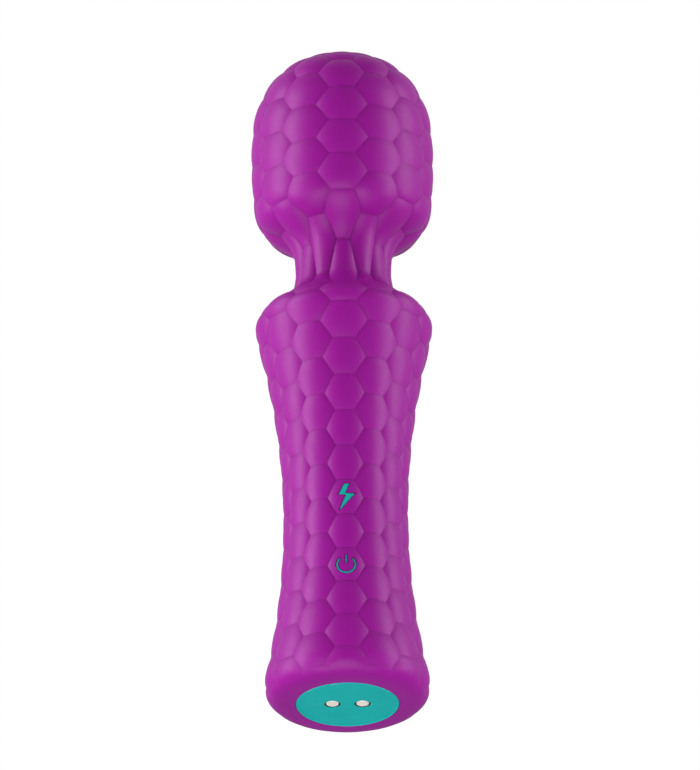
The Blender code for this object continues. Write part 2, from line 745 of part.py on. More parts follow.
def column(name, radius, across, height, front, rear, parent=WAND):
    """Cutter in the shape of a boss, from the front of the wand to its rear."""
    return rod(name, radius, (across, front, height), (across, rear, height), None, parent)


def split_shell(name, outside, cavity, holes, parent):
    """Two halves of a turned shell, hollowed, parted along the wand's sides and drilled."""
    halves = {}
    for side, sign in (("front", -1.0), ("rear", 1.0)):
        half = turned(name + "_" + side, outside, "shell_plastic", parent)
        near = 0.5 * sign * CLEARANCE
        low = (-OUTSIDE, min(near, -sign * OUTSIDE), -OUTSIDE)
        high = (OUTSIDE, max(near, -sign * OUTSIDE), LENGTH + OUTSIDE)
        other = block(name + "_other_half_of_" + side, low, high, None, parent)
        for cutter in [cavity, other] + holes:
            cut(half, cutter)
        halves[side] = half
    return halves


def make_handle_shell():
    """Handle shell with its bosses, the four screws that close it, and holes for the keys."""
    outside = [(0.0, SHELL_TOP_AT)]
    outside += [(outline_radius(height, SHELL_INSET), height) for height in reversed(handle_levels())]
    outside.append((0.0, SHELL_BASE_AT))
    pocket = CORE_FLANGE_RADIUS + CLEARANCE
    floor_hole = SPIGOT_RADIUS + CLEARANCE
    bay = [SHELL_FLOOR_AT] + [height for height in handle_levels() if SHELL_FLOOR_AT < height < BAY_TO]
    bay.append(BAY_TO)
    cavity = turned("handle_cavity", [
        (0.0, SHELL_TOP_AT + OUTSIDE),
        (CORE_HOLE, SHELL_TOP_AT + OUTSIDE),
        (CORE_HOLE, CEILING_AT),
        (pocket, CEILING_AT),
        (pocket, SHELF_AT),
        (SHELF_HOLE, SHELF_AT),
        (SHELF_HOLE, BAY_TO),
        *[(outline_radius(height, BAY_INSET), height) for height in reversed(bay)],
        (floor_hole, SHELL_FLOOR_AT),
        (floor_hole, -OUTSIDE),
        (0.0, -OUTSIDE),
    ], None)
    places = {
        "lower_left": (-LOWER_SCREW_OUT, 0.0, LOWER_SCREW_AT),
        "lower_right": (LOWER_SCREW_OUT, 0.0, LOWER_SCREW_AT),
        "upper_left": (-UPPER_SCREW_OUT, 0.0, UPPER_SCREW_AT),
        "upper_right": (UPPER_SCREW_OUT, 0.0, UPPER_SCREW_AT),
    }
    holes = []
    for name, where in places.items():
        cut(cavity, column("boss_" + name, BOSS_RADIUS, where[0], where[2], -OUTSIDE, OUTSIDE))
        holes.append(screw_hole(
            "hole_" + name, where, SCREW_RADIUS, SCREW_LENGTH, SCREW_HEAD_RADIUS, SCREW_SEAT,
        ))
        make_screw(
            "handle_screw_" + name, where, SCREW_RADIUS, SCREW_LENGTH, SCREW_HEAD_RADIUS,
            SCREW_HEAD, SCREW_SEAT,
        )
    halves = split_shell("handle_shell", outside, cavity, holes, WAND)
    board_seat = -(BOARD_LEVEL + CLEARANCE)
    for name, height in BOARD_SCREWS.items():
        boss = column("board_boss_" + name, BOARD_BOSS_RADIUS, 0.0, height, -OUTSIDE, board_seat)
        cut(cavity, boss)
        pilot_to = -(BOARD_BACK - CLEARANCE) - BOARD_SCREW_LENGTH - CLEARANCE
        pilot_radius = BOARD_SCREW_RADIUS + CLEARANCE
        pilot = column("board_pilot_" + name, pilot_radius, 0.0, height, pilot_to, 0.0)
        cut(halves["front"], pilot)
    for name, row in BUTTONS.items():
        height = row_height(row + 0.5)
        key_hole = column(name + "_key_hole", KEY_RADIUS + CLEARANCE, 0.0, height, -OUTSIDE, 0.0)
        cut(halves["front"], key_hole)


# Buttons

def cell_corners(row, grow):
    """Corners of a scale on the button side, moved outwards round its middle by a distance."""
    middle = row_height(row + 0.5)
    half_height = 0.5 * (row_height(row + 1.0) - row_height(row))
    share = 1.0 + grow / half_height
    corners = []
    for step, up in ((-1, 0.0), (1, 0.0), (2, 0.5), (1, 1.0), (-1, 1.0), (-2, 0.5)):
        height = row_height(row + up)
        where = round_wand(outline_radius(height) - crease(height, CORNER_DEPTH), step, height)
        corners.append(Vector((where.x * share, where.y, middle + (where.z - middle) * share)))
    return corners


def shrunk(corners, share, front, height):
    """Corners drawn in towards a height on the button side, all at one distance in front."""
    return [Vector((share * corner.x, front, height + share * (corner.z - height))) for corner in corners]


def make_button(name, row, sleeve):
    """One button: silicone pad in its window, key, switch and plunger."""
    height = row_height(row + 0.5)
    crest = outline_radius(height)
    lift_off = SHELL_INSET - CLEARANCE - BUTTON_STROKE
    pad_floor = max(outline_radius(row_height(row + up), lift_off) for up in (0.25, 0.5, 0.75))
    seat = crest - SYMBOL_THICKNESS - CLEARANCE
    button = add_empty(name + "_button", height, crest, WAND)
    window = cell_corners(row, 0.5 * CLEARANCE)
    front = [Vector((corner.x, -OUTSIDE, corner.z)) for corner in window]
    back = [Vector((corner.x, 0.0, corner.z)) for corner in window]
    cut(sleeve, loft(name + "_window", [back, front], None))
    rim = cell_corners(row, -0.5 * CLEARANCE)
    foot = []
    for corner in rim:
        reach = outline_radius(corner.z, lift_off)
        foot.append(Vector((corner.x, -math.sqrt(reach ** 2 - corner.x ** 2), corner.z)))
    floor = shrunk(rim, PAD_FLOOR_SHARE, -pad_floor, height)
    top = shrunk(rim, PAD_TOP_SHARE, -seat, height)
    loft(name + "_pad", [floor, foot, rim, top], "purple_silicone", button)

    wall = tightest_wall(row) - CLEARANCE
    stem_to = pad_floor - CLEARANCE
    key = turned(name + "_key", [
        (0.0, stem_to),
        (KEY_RADIUS, stem_to),
        (KEY_RADIUS, wall),
        (KEY_FLANGE_RADIUS, wall),
        (KEY_FLANGE_RADIUS, wall - KEY_FLANGE),
        (KEY_RADIUS, wall - KEY_FLANGE),
        (KEY_RADIUS, KEY_FOOT_AT),
        (0.0, KEY_FOOT_AT),
    ], "key_plastic", button, (0.0, 0.0, height), steps=SMALL_STEPS)
    key.rotation_euler = TO_FRONT

    half = 0.5 * SWITCH_WIDTH
    switch = block(
        name + "_switch_body", (-half, -SWITCH_TOP, height - half),
        (half, -(SWITCH_TOP - SWITCH_HEIGHT), height + half), "black_plastic",
    )
    bore_to = SWITCH_TOP - PLUNGER_IN - BUTTON_STROKE - CLEARANCE
    bore_radius = PLUNGER_RADIUS + CLEARANCE
    cut(switch, column(name + "_plunger_bore", bore_radius, 0.0, height, -OUTSIDE, -bore_to))
    rod(
        name + "_switch_plunger", PLUNGER_RADIUS, (0.0, -(SWITCH_TOP - PLUNGER_IN), height),
        (0.0, -(SWITCH_TOP + PLUNGER_OUT), height), "key_plastic", button,
    )
    return button, (0.0, -(crest - 0.5 * SYMBOL_THICKNESS), height)


def make_buttons(sleeve):
    """Power and boost buttons with their inlaid symbols."""
    button, where = make_button("boost", BOOST_ROW, sleeve)
    shape = [(0.14, 0.5), (-0.5, -0.09), (-0.04, -0.09), (-0.18, -0.5), (0.5, 0.11), (0.04, 0.11)]
    bolt = [(BOLT_WIDTH * across, BOLT_HEIGHT * up) for across, up in shape]
    flat_outline("boost_symbol", [bolt], SYMBOL_THICKNESS, "teal_ink", button, where, True)

    button, where = make_button("power", POWER_ROW, sleeve)
    start, stop = 0.5 * math.pi + RING_SYMBOL_OPENING, 2.5 * math.pi - RING_SYMBOL_OPENING
    inner_radius = RING_SYMBOL_RADIUS - SYMBOL_STROKE
    ring = arc(RING_SYMBOL_RADIUS, start, stop, 15) + arc(inner_radius, stop, start, 15)
    flat_outline("power_symbol_ring", [ring], SYMBOL_THICKNESS, "teal_ink", button, where, True)
    low, high = 0.2 * RING_SYMBOL_RADIUS, 1.15 * RING_SYMBOL_RADIUS
    side = 0.5 * SYMBOL_STROKE
    bar = [(-side, low), (side, low), (side, high), (-side, high)]
    flat_outline("power_symbol_bar", [bar], SYMBOL_THICKNESS, "teal_ink", button, where, True)


# Board, battery and leads

def make_board():
    """Main board, and the two screws that hold it to the front shell."""
    half = 0.5 * BOARD_WIDTH
    board = block(
        "main_board", (-half, -BOARD_LEVEL, BOARD_FROM), (half, -BOARD_BACK, BOARD_TO), "board_green",
    )
    for name, height in BOARD_SCREWS.items():
        radius = BOARD_SCREW_RADIUS + CLEARANCE
        cut(board, column("board_hole_" + name, radius, 0.0, height, -OUTSIDE, 0.0))
        make_screw(
            "board_screw_" + name, (0.0, 0.0, height), BOARD_SCREW_RADIUS, BOARD_SCREW_LENGTH,
            BOARD_SCREW_HEAD_RADIUS, BOARD_SCREW_HEAD, -BOARD_BACK,
        )


def make_battery():
    """Round cell between two foam pads, behind the board."""
    body_to = BATTERY_TO - BATTERY_CAP
    turned("battery_cell", [
        (0.0, BATTERY_TO),
        (BATTERY_CAP_RADIUS, BATTERY_TO),
        (BATTERY_CAP_RADIUS, body_to),
        (BATTERY_RADIUS, body_to),
        (BATTERY_RADIUS, BATTERY_FROM),
        (0.0, BATTERY_FROM),
    ], "battery_wrap", where=(0.0, BATTERY_BEHIND, 0.0))
    half = 0.5 * BATTERY_PAD_WIDTH
    middle = 0.5 * (BATTERY_FROM + BATTERY_TO)
    low, high = middle - 0.5 * BATTERY_PAD_LENGTH, middle + 0.5 * BATTERY_PAD_LENGTH
    front = BATTERY_BEHIND - BATTERY_RADIUS - CLEARANCE
    block("battery_pad_front", (-half, -BOARD_BACK + CLEARANCE, low), (half, front, high), "black_foam")
    rear = math.sqrt((REAR_WALL - CLEARANCE) ** 2 - half ** 2)
    cell_rear = BATTERY_BEHIND + BATTERY_RADIUS + CLEARANCE
    block("battery_pad_rear", (-half, cell_rear, low), (half, rear, high), "black_foam")


def make_leads():
    """Leads from the cell, from the contacts and to the motor, each ending on what it joins."""
    back = -(BOARD_BACK - CLEARANCE)
    near_back = back + LEAD_BEND
    cell = BATTERY_BEHIND
    top, bottom = BATTERY_TO + CLEARANCE, BATTERY_FROM - CLEARANCE
    lead("battery_lead_positive", [
        (0.0, cell, top),
        (0.0, cell, top + 1.5 * LEAD_BEND),
        (0.0, cell - LEAD_BEND, top + 2.3 * LEAD_BEND),
        (0.0, near_back + LEAD_BEND, top + 2.1 * LEAD_BEND),
        (0.0, near_back, top + 1.4 * LEAD_BEND),
        (0.0, back, top + 1.1 * LEAD_BEND),
    ], "red_wire", WAND)
    lead("battery_lead_negative", [
        (0.0, cell, bottom),
        (0.0, cell, bottom - LEAD_BEND),
        (0.5 * LEAD_BEND, cell - LEAD_BEND, bottom - 2.0 * LEAD_BEND),
        (NEGATIVE_PAD_OUT, near_back + LEAD_BEND, bottom - 2.5 * LEAD_BEND),
        (NEGATIVE_PAD_OUT, back, bottom - 2.8 * LEAD_BEND),
    ], "black_wire", WAND)
    tail = CHARGE_BOARD_TO + CONTACT_TAIL_OUT + CLEARANCE
    bore = 0.5 * CORE_BORE
    end = TERMINAL_AT - CLEARANCE
    for name, side, finish in (("positive", -1.0, "red_wire"), ("negative", 1.0, "black_wire")):
        start, pad = side * 0.5 * CONTACT_PITCH, side * CHARGE_PAD_OUT
        lead("charge_lead_" + name, [
            (start, 0.0, tail),
            (start, 0.0, tail + 2.0 * LEAD_BEND),
            (0.5 * (start + pad), 0.5 * back, BOARD_FROM - 3.0 * LEAD_BEND),
            (pad, near_back, BOARD_FROM + 0.3 * LEAD_BEND),
            (pad, back, BOARD_FROM + 0.8 * LEAD_BEND),
        ], finish, WAND)
        pad = side * MOTOR_PAD_OUT
        lead("motor_lead_lower_" + name, [
            (pad, back, BOARD_TO - 1.5 * LEAD_BEND),
            (pad, near_back, BOARD_TO - LEAD_BEND),
            (pad, 0.5 * back, BOARD_TO + 2.5 * LEAD_BEND),
            (side * bore, 0.0, 0.5 * (BOARD_TO + BAY_TO)),
            (side * bore, 0.0, BAY_TO),
        ], finish, WAND)
        lead("motor_lead_upper_" + name, [
            (side * bore, 0.0, BAY_TO + CLEARANCE),
            (side * bore, 0.0, TILT_AT),
            (side * bore, 0.0, SWAY_AT),
            (side * bore, 0.0, HEAD_FLANGE_TO),
            (side * TERMINAL_OUT, 0.0, end - LEAD_BEND),
            (side * TERMINAL_OUT, 0.0, end),
        ], finish, NECK)


# Head

def make_head_frame():
    """Split frame in the head, hollowed round the motor, with ribs for the motor's rings."""
    outside = [(0.0, LENGTH - SHELL_INSET)]
    outside += [(outline_radius(height, SHELL_INSET), height) for height in reversed(head_levels())]
    outside.append((0.0, FRAME_BOTTOM_AT))
    rib = MOTOR_RADIUS + RING_THICKNESS + 2.0 * CLEARANCE
    pocket = CORE_FLANGE_RADIUS + CLEARANCE
    inside = [(0.0, LENGTH - FRAME_INSET)]
    for share in (0.95, 0.85, 0.7):
        height = HEAD_AT + share * (HEAD_TOP - FRAME_INSET)
        inside.append((outline_radius(height, FRAME_INSET), height))
    for ring_from in (UPPER_RING_AT, LOWER_RING_AT):
        rib_to, rib_from = ring_from + RING_HEIGHT + RIB_MARGIN, ring_from - RIB_MARGIN
        inside.append((outline_radius(rib_to, FRAME_INSET), rib_to))
        inside += [(rib, rib_to), (rib, rib_from)]
        inside.append((outline_radius(rib_from, FRAME_INSET), rib_from))
    inside += [
        (outline_radius(MOTOR_BAY_FROM, FRAME_INSET), MOTOR_BAY_FROM),
        (SHELF_HOLE, MOTOR_BAY_FROM),
        (SHELF_HOLE, FRAME_SHELF_AT),
        (pocket, FRAME_SHELF_AT),
        (pocket, FRAME_BOTTOM_AT + FRAME_FLOOR),
        (CORE_HOLE, FRAME_BOTTOM_AT + FRAME_FLOOR),
        (CORE_HOLE, FRAME_BOTTOM_AT - OUTSIDE),
        (0.0, FRAME_BOTTOM_AT - OUTSIDE),
    ]
    cavity = turned("head_cavity", inside, None, HEAD)
    holes = []
    for name, side in (("left", -1.0), ("right", 1.0)):
        where = (side * FRAME_SCREW_OUT, 0.0, FRAME_SCREW_AT)
        boss = column("frame_boss_" + name, BOSS_RADIUS, where[0], where[2], -OUTSIDE, OUTSIDE, HEAD)
        cut(cavity, boss)
        holes.append(screw_hole(
            "frame_hole_" + name, where, SCREW_RADIUS, SCREW_LENGTH, SCREW_HEAD_RADIUS, SCREW_SEAT, HEAD,
        ))
        make_screw(
            "frame_screw_" + name, where, SCREW_RADIUS, SCREW_LENGTH, SCREW_HEAD_RADIUS, SCREW_HEAD,
            SCREW_SEAT, HEAD,
        )
    split_shell("head_frame", outside, cavity, holes, HEAD)


def tube(name, inner, outer, low, high, finish, parent, steps=SHELL_STEPS):
    """Add a plain ring or bush."""
    profile = [(outer, high), (outer, low), (inner, low), (inner, high)]
    return turned(name, profile, finish, parent, ring=True, steps=steps)


def make_motor():
    """Still parts of the motor: can, magnets, end bell, bushes, terminals and rubber rings."""
    inside = MOTOR_RADIUS - CAN_WALL
    bush_inside = SHAFT_RADIUS + RUNNING_CLEARANCE
    bush_outside = bush_inside + BUSH_WALL
    bush_hole = bush_outside + CLEARANCE
    turned("motor_can", [
        (MOTOR_RADIUS, CAN_TO),
        (MOTOR_RADIUS, CAN_FROM),
        (inside, CAN_FROM),
        (inside, CAN_TO - CAN_TOP_WALL),
        (bush_hole, CAN_TO - CAN_TOP_WALL),
        (bush_hole, CAN_TO),
    ], "steel", HEAD, ring=True)
    bell_to = END_BELL_AT + END_BELL
    tube("motor_end_bell", bush_hole, MOTOR_RADIUS, END_BELL_AT, bell_to, "black_plastic", HEAD)
    top_from = CAN_TO - CAN_TOP_WALL
    for name, low in (("bottom", END_BELL_AT), ("top", top_from)):
        high = low + BUSH_LENGTH
        tube("motor_bush_" + name, bush_inside, bush_outside, low, high, "brass", HEAD, SMALL_STEPS)
    for name, low in (("lower", LOWER_RING_AT), ("upper", UPPER_RING_AT)):
        ring_inside = MOTOR_RADIUS + CLEARANCE
        ring_outside = ring_inside + RING_THICKNESS
        tube("motor_ring_" + name, ring_inside, ring_outside, low, low + RING_HEIGHT, "black_rubber", HEAD)
    middle = (0.0, 0.0, FRAME_SCREW_AT)
    for name, facing in (("left", math.pi), ("right", 0.0)):
        start, stop = facing - 0.5 * STATOR_MAGNET_ARC, facing + 0.5 * STATOR_MAGNET_ARC
        outer = inside - CLEARANCE
        outline = arc(outer, start, stop, 11) + arc(outer - STATOR_MAGNET, stop, start, 11)
        flat_outline("motor_magnet_" + name, [outline], STATOR_MAGNET_LENGTH, "ferrite", HEAD, middle)
    for name, side in (("left", -1.0), ("right", 1.0)):
        across = side * TERMINAL_OUT
        low = (across - 0.5 * TERMINAL_WIDTH, -0.5 * TERMINAL_THICKNESS, TERMINAL_AT)
        high = (across + 0.5 * TERMINAL_WIDTH, 0.5 * TERMINAL_THICKNESS, END_BELL_AT - CLEARANCE)
        block("motor_terminal_" + name, low, high, "brass", HEAD)


def make_rotor():
    """Turning parts: shaft, armature and the eccentric weight that makes the head shake."""
    low = (0.0, 0.0, END_BELL_AT - CLEARANCE)
    rod("motor_shaft", SHAFT_RADIUS, low, (0.0, 0.0, WEIGHT_TO + CLEARANCE), "steel", ROTOR)
    outer = MOTOR_RADIUS - CAN_WALL - CLEARANCE - STATOR_MAGNET - ARMATURE_GAP
    rim = outer - POLE_RIM
    half_pole = math.pi / POLE_COUNT - 0.5 * POLE_SLOT
    web = 0.5 * POLE_WEB
    hub = 2.0 * web + SHAFT_RADIUS
    outline = []
    for pole in range(POLE_COUNT):
        turn = 2.0 * math.pi * pole / POLE_COUNT
        neck = math.sqrt(rim ** 2 - web ** 2)
        foot = [(hub, -web), (neck, -web), *arc(rim, -half_pole, -half_pole, 1)]
        head = arc(outer, -half_pole, half_pole, 7)
        away = [*arc(rim, half_pole, half_pole, 1), (neck, web), (hub, web)]
        for across, along in foot + head + away:
            spun_x = across * math.cos(turn) - along * math.sin(turn)
            spun_y = across * math.sin(turn) + along * math.cos(turn)
            outline.append((spun_x, spun_y))
    bore = full_circle(SHAFT_RADIUS + CLEARANCE)
    middle = (0.0, 0.0, FRAME_SCREW_AT)
    flat_outline("motor_armature", [outline, bore], ARMATURE_LENGTH, "steel", ROTOR, middle)
    rear, front = 0.5 * math.pi, 1.5 * math.pi
    weight = arc(WEIGHT_RADIUS, rear - WEIGHT_HALF_ARC, rear + WEIGHT_HALF_ARC, 13)
    weight += arc(WEIGHT_HUB_RADIUS, front - WEIGHT_HUB_ARC, front + WEIGHT_HUB_ARC, 9)
    height = 0.5 * (WEIGHT_FROM + WEIGHT_TO)
    flat_outline("eccentric_weight", [weight, bore], WEIGHT_HEIGHT, "tungsten", ROTOR, (0.0, 0.0, height))


def main():
    """Build every piece of the wand."""
    handle_sleeve = make_handle_sleeve()
    make_neck()
    make_head_sleeve()
    make_base()
    make_handle_shell()
    make_buttons(handle_sleeve)
    make_board()
    make_battery()
    make_leads()
    make_head_frame()
    make_motor()
    make_rotor()


main()
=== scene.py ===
"""Looks of a cordless wand massager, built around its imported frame.

The wand lies on its back with the buttons up. X is across it, Y runs from the charging base to the head,
and Z is up. A place along the wand is its height, in metres from the charging face. A place on the skin is a
pair of numbers: turn, in thirds of a column of scales round the wand from the middle of the buttons, and row,
in rows of scales from the base.
"""

import json
import logging
import math
from dataclasses import dataclass
from enum import Enum
from typing import Callable, Mapping, Sequence, TypeVar

import bpy
import numpy as np
from mathutils import Matrix, Vector, geometry


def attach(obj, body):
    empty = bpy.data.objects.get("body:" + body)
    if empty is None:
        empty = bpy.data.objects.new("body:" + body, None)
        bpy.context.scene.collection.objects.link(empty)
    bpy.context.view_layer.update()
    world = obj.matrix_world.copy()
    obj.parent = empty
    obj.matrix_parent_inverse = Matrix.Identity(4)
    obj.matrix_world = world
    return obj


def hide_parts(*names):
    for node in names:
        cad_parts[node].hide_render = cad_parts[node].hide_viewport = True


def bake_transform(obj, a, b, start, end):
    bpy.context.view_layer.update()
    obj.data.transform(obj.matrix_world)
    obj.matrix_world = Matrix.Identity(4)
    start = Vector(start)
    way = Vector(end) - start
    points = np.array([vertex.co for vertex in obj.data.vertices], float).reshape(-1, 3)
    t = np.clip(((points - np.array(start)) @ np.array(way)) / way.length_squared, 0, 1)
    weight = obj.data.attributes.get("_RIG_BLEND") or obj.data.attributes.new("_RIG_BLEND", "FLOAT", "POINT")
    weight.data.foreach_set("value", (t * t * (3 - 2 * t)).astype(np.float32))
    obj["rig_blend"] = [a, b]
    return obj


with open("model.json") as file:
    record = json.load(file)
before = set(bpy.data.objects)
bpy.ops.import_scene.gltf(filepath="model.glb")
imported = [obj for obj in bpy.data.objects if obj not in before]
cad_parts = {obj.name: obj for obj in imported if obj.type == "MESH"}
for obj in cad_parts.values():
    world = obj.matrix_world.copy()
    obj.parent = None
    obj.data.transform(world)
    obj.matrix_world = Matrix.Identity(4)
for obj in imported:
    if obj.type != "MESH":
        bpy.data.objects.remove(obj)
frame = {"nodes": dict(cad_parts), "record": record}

LOG = logging.getLogger("wand")

# Places that several pieces share, in metres
BASE_Y = -0.089
AXIS_Z = 0.0231
SKIN_THICKNESS = 0.0023
NECK_FROM = 0.112
SEAM_AT = 0.120
NECK_TO = 0.128

# Angles in degrees above which the shading breaks at an edge
SOFT_ANGLE = 40.0
TURNED_ANGLE = 35.0
CUT_ANGLE = 30.0

FULL_TURN = 2.0 * math.pi
ON_AXIS = 1e-7
ROUND_STEPS = 5
INSIDE_TRIANGLES = 1
TUBE_SIDES = 12
IMAGE_WIDTH = 700
IMAGE_HEIGHT = 770

Colour = tuple[float, float, float]
Point2 = tuple[float, float]
Point3 = tuple[float, float, float]
Face = tuple[int, ...]
Mesh = tuple[list[Point3], list[Face]]
Object = bpy.types.Object
Node = bpy.types.Node
Socket = bpy.types.NodeSocket
Wires = Mapping[str, Socket]
Inputs = Mapping[str | int, object]
Item = TypeVar("Item")


# Small geometry helpers

def place(across: float, height: float, out: float) -> Point3:
    """Returns the frame's point for a place across, along and out of the wand's axis."""
    return (across, BASE_Y + height, AXIS_Z + out)


def along(height: float) -> Point3:
    """Returns the frame's point on the wand's axis at a height."""
    return place(0.0, height, 0.0)


def around(loop: Sequence[Item]) -> list[tuple[Item, Item]]:
    """Pairs each item of a closed loop with the next one."""
    return list(zip(loop, [*loop[1:], *loop[:1]]))


def quads(ring: Sequence[int], following: Sequence[int]) -> list[Face]:
    """Joins two closed rings of vertices with four-sided faces."""
    pairs = zip(around(ring), around(following))
    return [(one, two, four, three) for (one, two), (three, four) in pairs]


def smoothstep(values: np.ndarray) -> np.ndarray:
    """Returns 0 to 1 eased at both ends, for values that run past that range."""
    share = np.clip(values, 0.0, 1.0)
    return share * share * (3.0 - 2.0 * share)


def smooth_curve(knots: np.ndarray, values: np.ndarray, wanted: np.ndarray) -> np.ndarray:
    """Reads a smooth curve through knots that doesn't swing past them.

    Args:
        knots: Where the values are known, rising.
        values: The values.
        wanted: Where the curve is read.

    Returns:
        The curve's values there.
    """
    gap = np.diff(knots)
    rise = np.diff(values) / gap
    before, after = rise[:-1], rise[1:]
    same = before * after > 0.0
    middle = np.where(same, 2.0 * before * after / np.where(same, before + after, 1.0), 0.0)
    slope = np.concatenate([rise[:1], middle, rise[-1:]])
    which = np.clip(np.searchsorted(knots, wanted) - 1, 0, len(gap) - 1)
    share = (wanted - knots[which]) / gap[which]
    ease = smoothstep(share)
    start = share * (1.0 - share) ** 2 * gap[which] * slope[which]
    stop = share * share * (share - 1.0) * gap[which] * slope[which + 1]
    return values[which] * (1.0 - ease) + values[which + 1] * ease + start + stop


def linked(name: str, data: bpy.types.ID) -> Object:
    """Makes an object and links it to the scene.

    Args:
        name: The object's name.
        data: Its mesh, light or camera.

    Returns:
        The new object.
    """
    made = bpy.data.objects.new(name, data)
    bpy.context.scene.collection.objects.link(made)
    return made


def shade(data: bpy.types.Mesh, sharp_angle: float) -> None:
    """Shades a mesh smooth, with edges over an angle in degrees kept crisp."""
    data.shade_smooth()
    data.set_sharp_from_angle(angle=math.radians(sharp_angle))


def piece(name: str, mesh: Mesh, sharp_angle: float = SOFT_ANGLE) -> Object:
    """Makes a smooth-shaded mesh object.

    Args:
        name: The piece's name.
        mesh: Its vertices and faces, in the frame.
        sharp_angle: Angle in degrees above which an edge stays sharp.

    Returns:
        The new object, linked to the scene.
    """
    data = bpy.data.meshes.new(name)
    data.from_pydata(mesh[0], [], mesh[1])
    data.validate()
    shade(data, sharp_angle)
    return linked(name, data)


def turned(profile: Sequence[Point2], steps: int, across: float = 0.0) -> Mesh:
    """Turns a closed profile about the wand's axis, or about a line beside it.

    Args:
        profile: Radius and height of each point, in an order that has the solid on its left. Points on the
            axis become one vertex each.
        steps: Number of vertices in a ring.
        across: How far the turning axis is from the wand's own.

    Returns:
        The closed mesh.
    """
    points: list[Point3] = []
    rings: list[list[int]] = []
    for radius, height in profile:
        count = 1 if radius < ON_AXIS else steps
        first = len(points)
        for step in range(count):
            angle = FULL_TURN * step / steps
            points.append(place(across + radius * math.sin(angle), height, radius * math.cos(angle)))
        rings.append([first + step % count for step in range(steps)])
    faces = [tuple(dict.fromkeys(face)) for ring, following in around(rings)
             for face in quads(ring, following)]
    return points, [face for face in faces if len(face) > 2]


def rounded(corner: Point2, before: Point2, after: Point2, radius: float) -> list[Point2]:
    """Rounds one corner of a profile.

    Args:
        corner: The sharp corner.
        before: The point before it.
        after: The point after it.
        radius: How far from the corner the rounding starts.

    Returns:
        The points that stand for the corner.
    """
    middle = Vector(corner)
    start = middle + (Vector(before) - middle).normalized() * radius
    stop = middle + (Vector(after) - middle).normalized() * radius
    made = []
    for step in range(ROUND_STEPS + 1):
        share = step / ROUND_STEPS
        point = start.lerp(middle, share).lerp(middle.lerp(stop, share), share)
        made.append((point.x, point.y))
    return made


def tube(path: Sequence[Point3], radius: float) -> Mesh:
    """Makes a closed round tube along a path.

    Args:
        path: Points of the middle line, in the frame.
        radius: The tube's radius.

    Returns:
        The closed mesh.
    """
    centres = [Vector(point) for point in path]
    points: list[Point3] = []
    for number, centre in enumerate(centres):
        before, after = centres[max(number - 1, 0)], centres[min(number + 1, len(centres) - 1)]
        direction = (after - before).normalized()
        side = direction.cross(Vector((0.0, 0.0, 1.0))).normalized()
        up = side.cross(direction)
        for step in range(TUBE_SIDES):
            angle = FULL_TURN * step / TUBE_SIDES
            points.append(tuple(centre + radius * (math.cos(angle) * side + math.sin(angle) * up)))
    rings = [range(first, first + TUBE_SIDES) for first in range(0, len(points), TUBE_SIDES)]
    faces = [(one, three, four, two) for ring, following in zip(rings, rings[1:])
             for one, two, four, three in quads(ring, following)]
    return points, faces + [tuple(rings[0]), tuple(reversed(rings[-1]))]


def cut_away(body: Object, cutter: Object) -> None:
    """Cuts one solid out of another and removes the cutter.

    Args:
        body: The piece that is cut, whose mesh is replaced.
        cutter: The solid that is taken out of it.
    """
    modifier = body.modifiers.new("cut", "BOOLEAN")
    modifier.operation = "DIFFERENCE"
    modifier.solver = "EXACT"
    modifier.object = cutter
    bpy.context.view_layer.update()
    depsgraph = bpy.context.evaluated_depsgraph_get()
    made = bpy.data.meshes.new_from_object(body.evaluated_get(depsgraph))
    body.modifiers.clear()
    old = body.data
    body.data = made
    bpy.data.meshes.remove(old)
    bpy.data.objects.remove(cutter)
    shade(made, CUT_ANGLE)


def bend_with_neck(lower: Object, upper: Object) -> None:
    """Hangs two halves that meet in the neck on the bodies on either side of each neck joint."""
    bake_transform(lower, "handle", "neck", start=along(NECK_FROM), end=along(SEAM_AT))
    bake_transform(upper, "neck", "head", start=along(SEAM_AT), end=along(NECK_TO))


# Shader effects and finishes

def rgba(colour: Colour) -> tuple[float, ...]:
    """Returns a colour as a socket takes it."""
    return (*colour, 1.0)


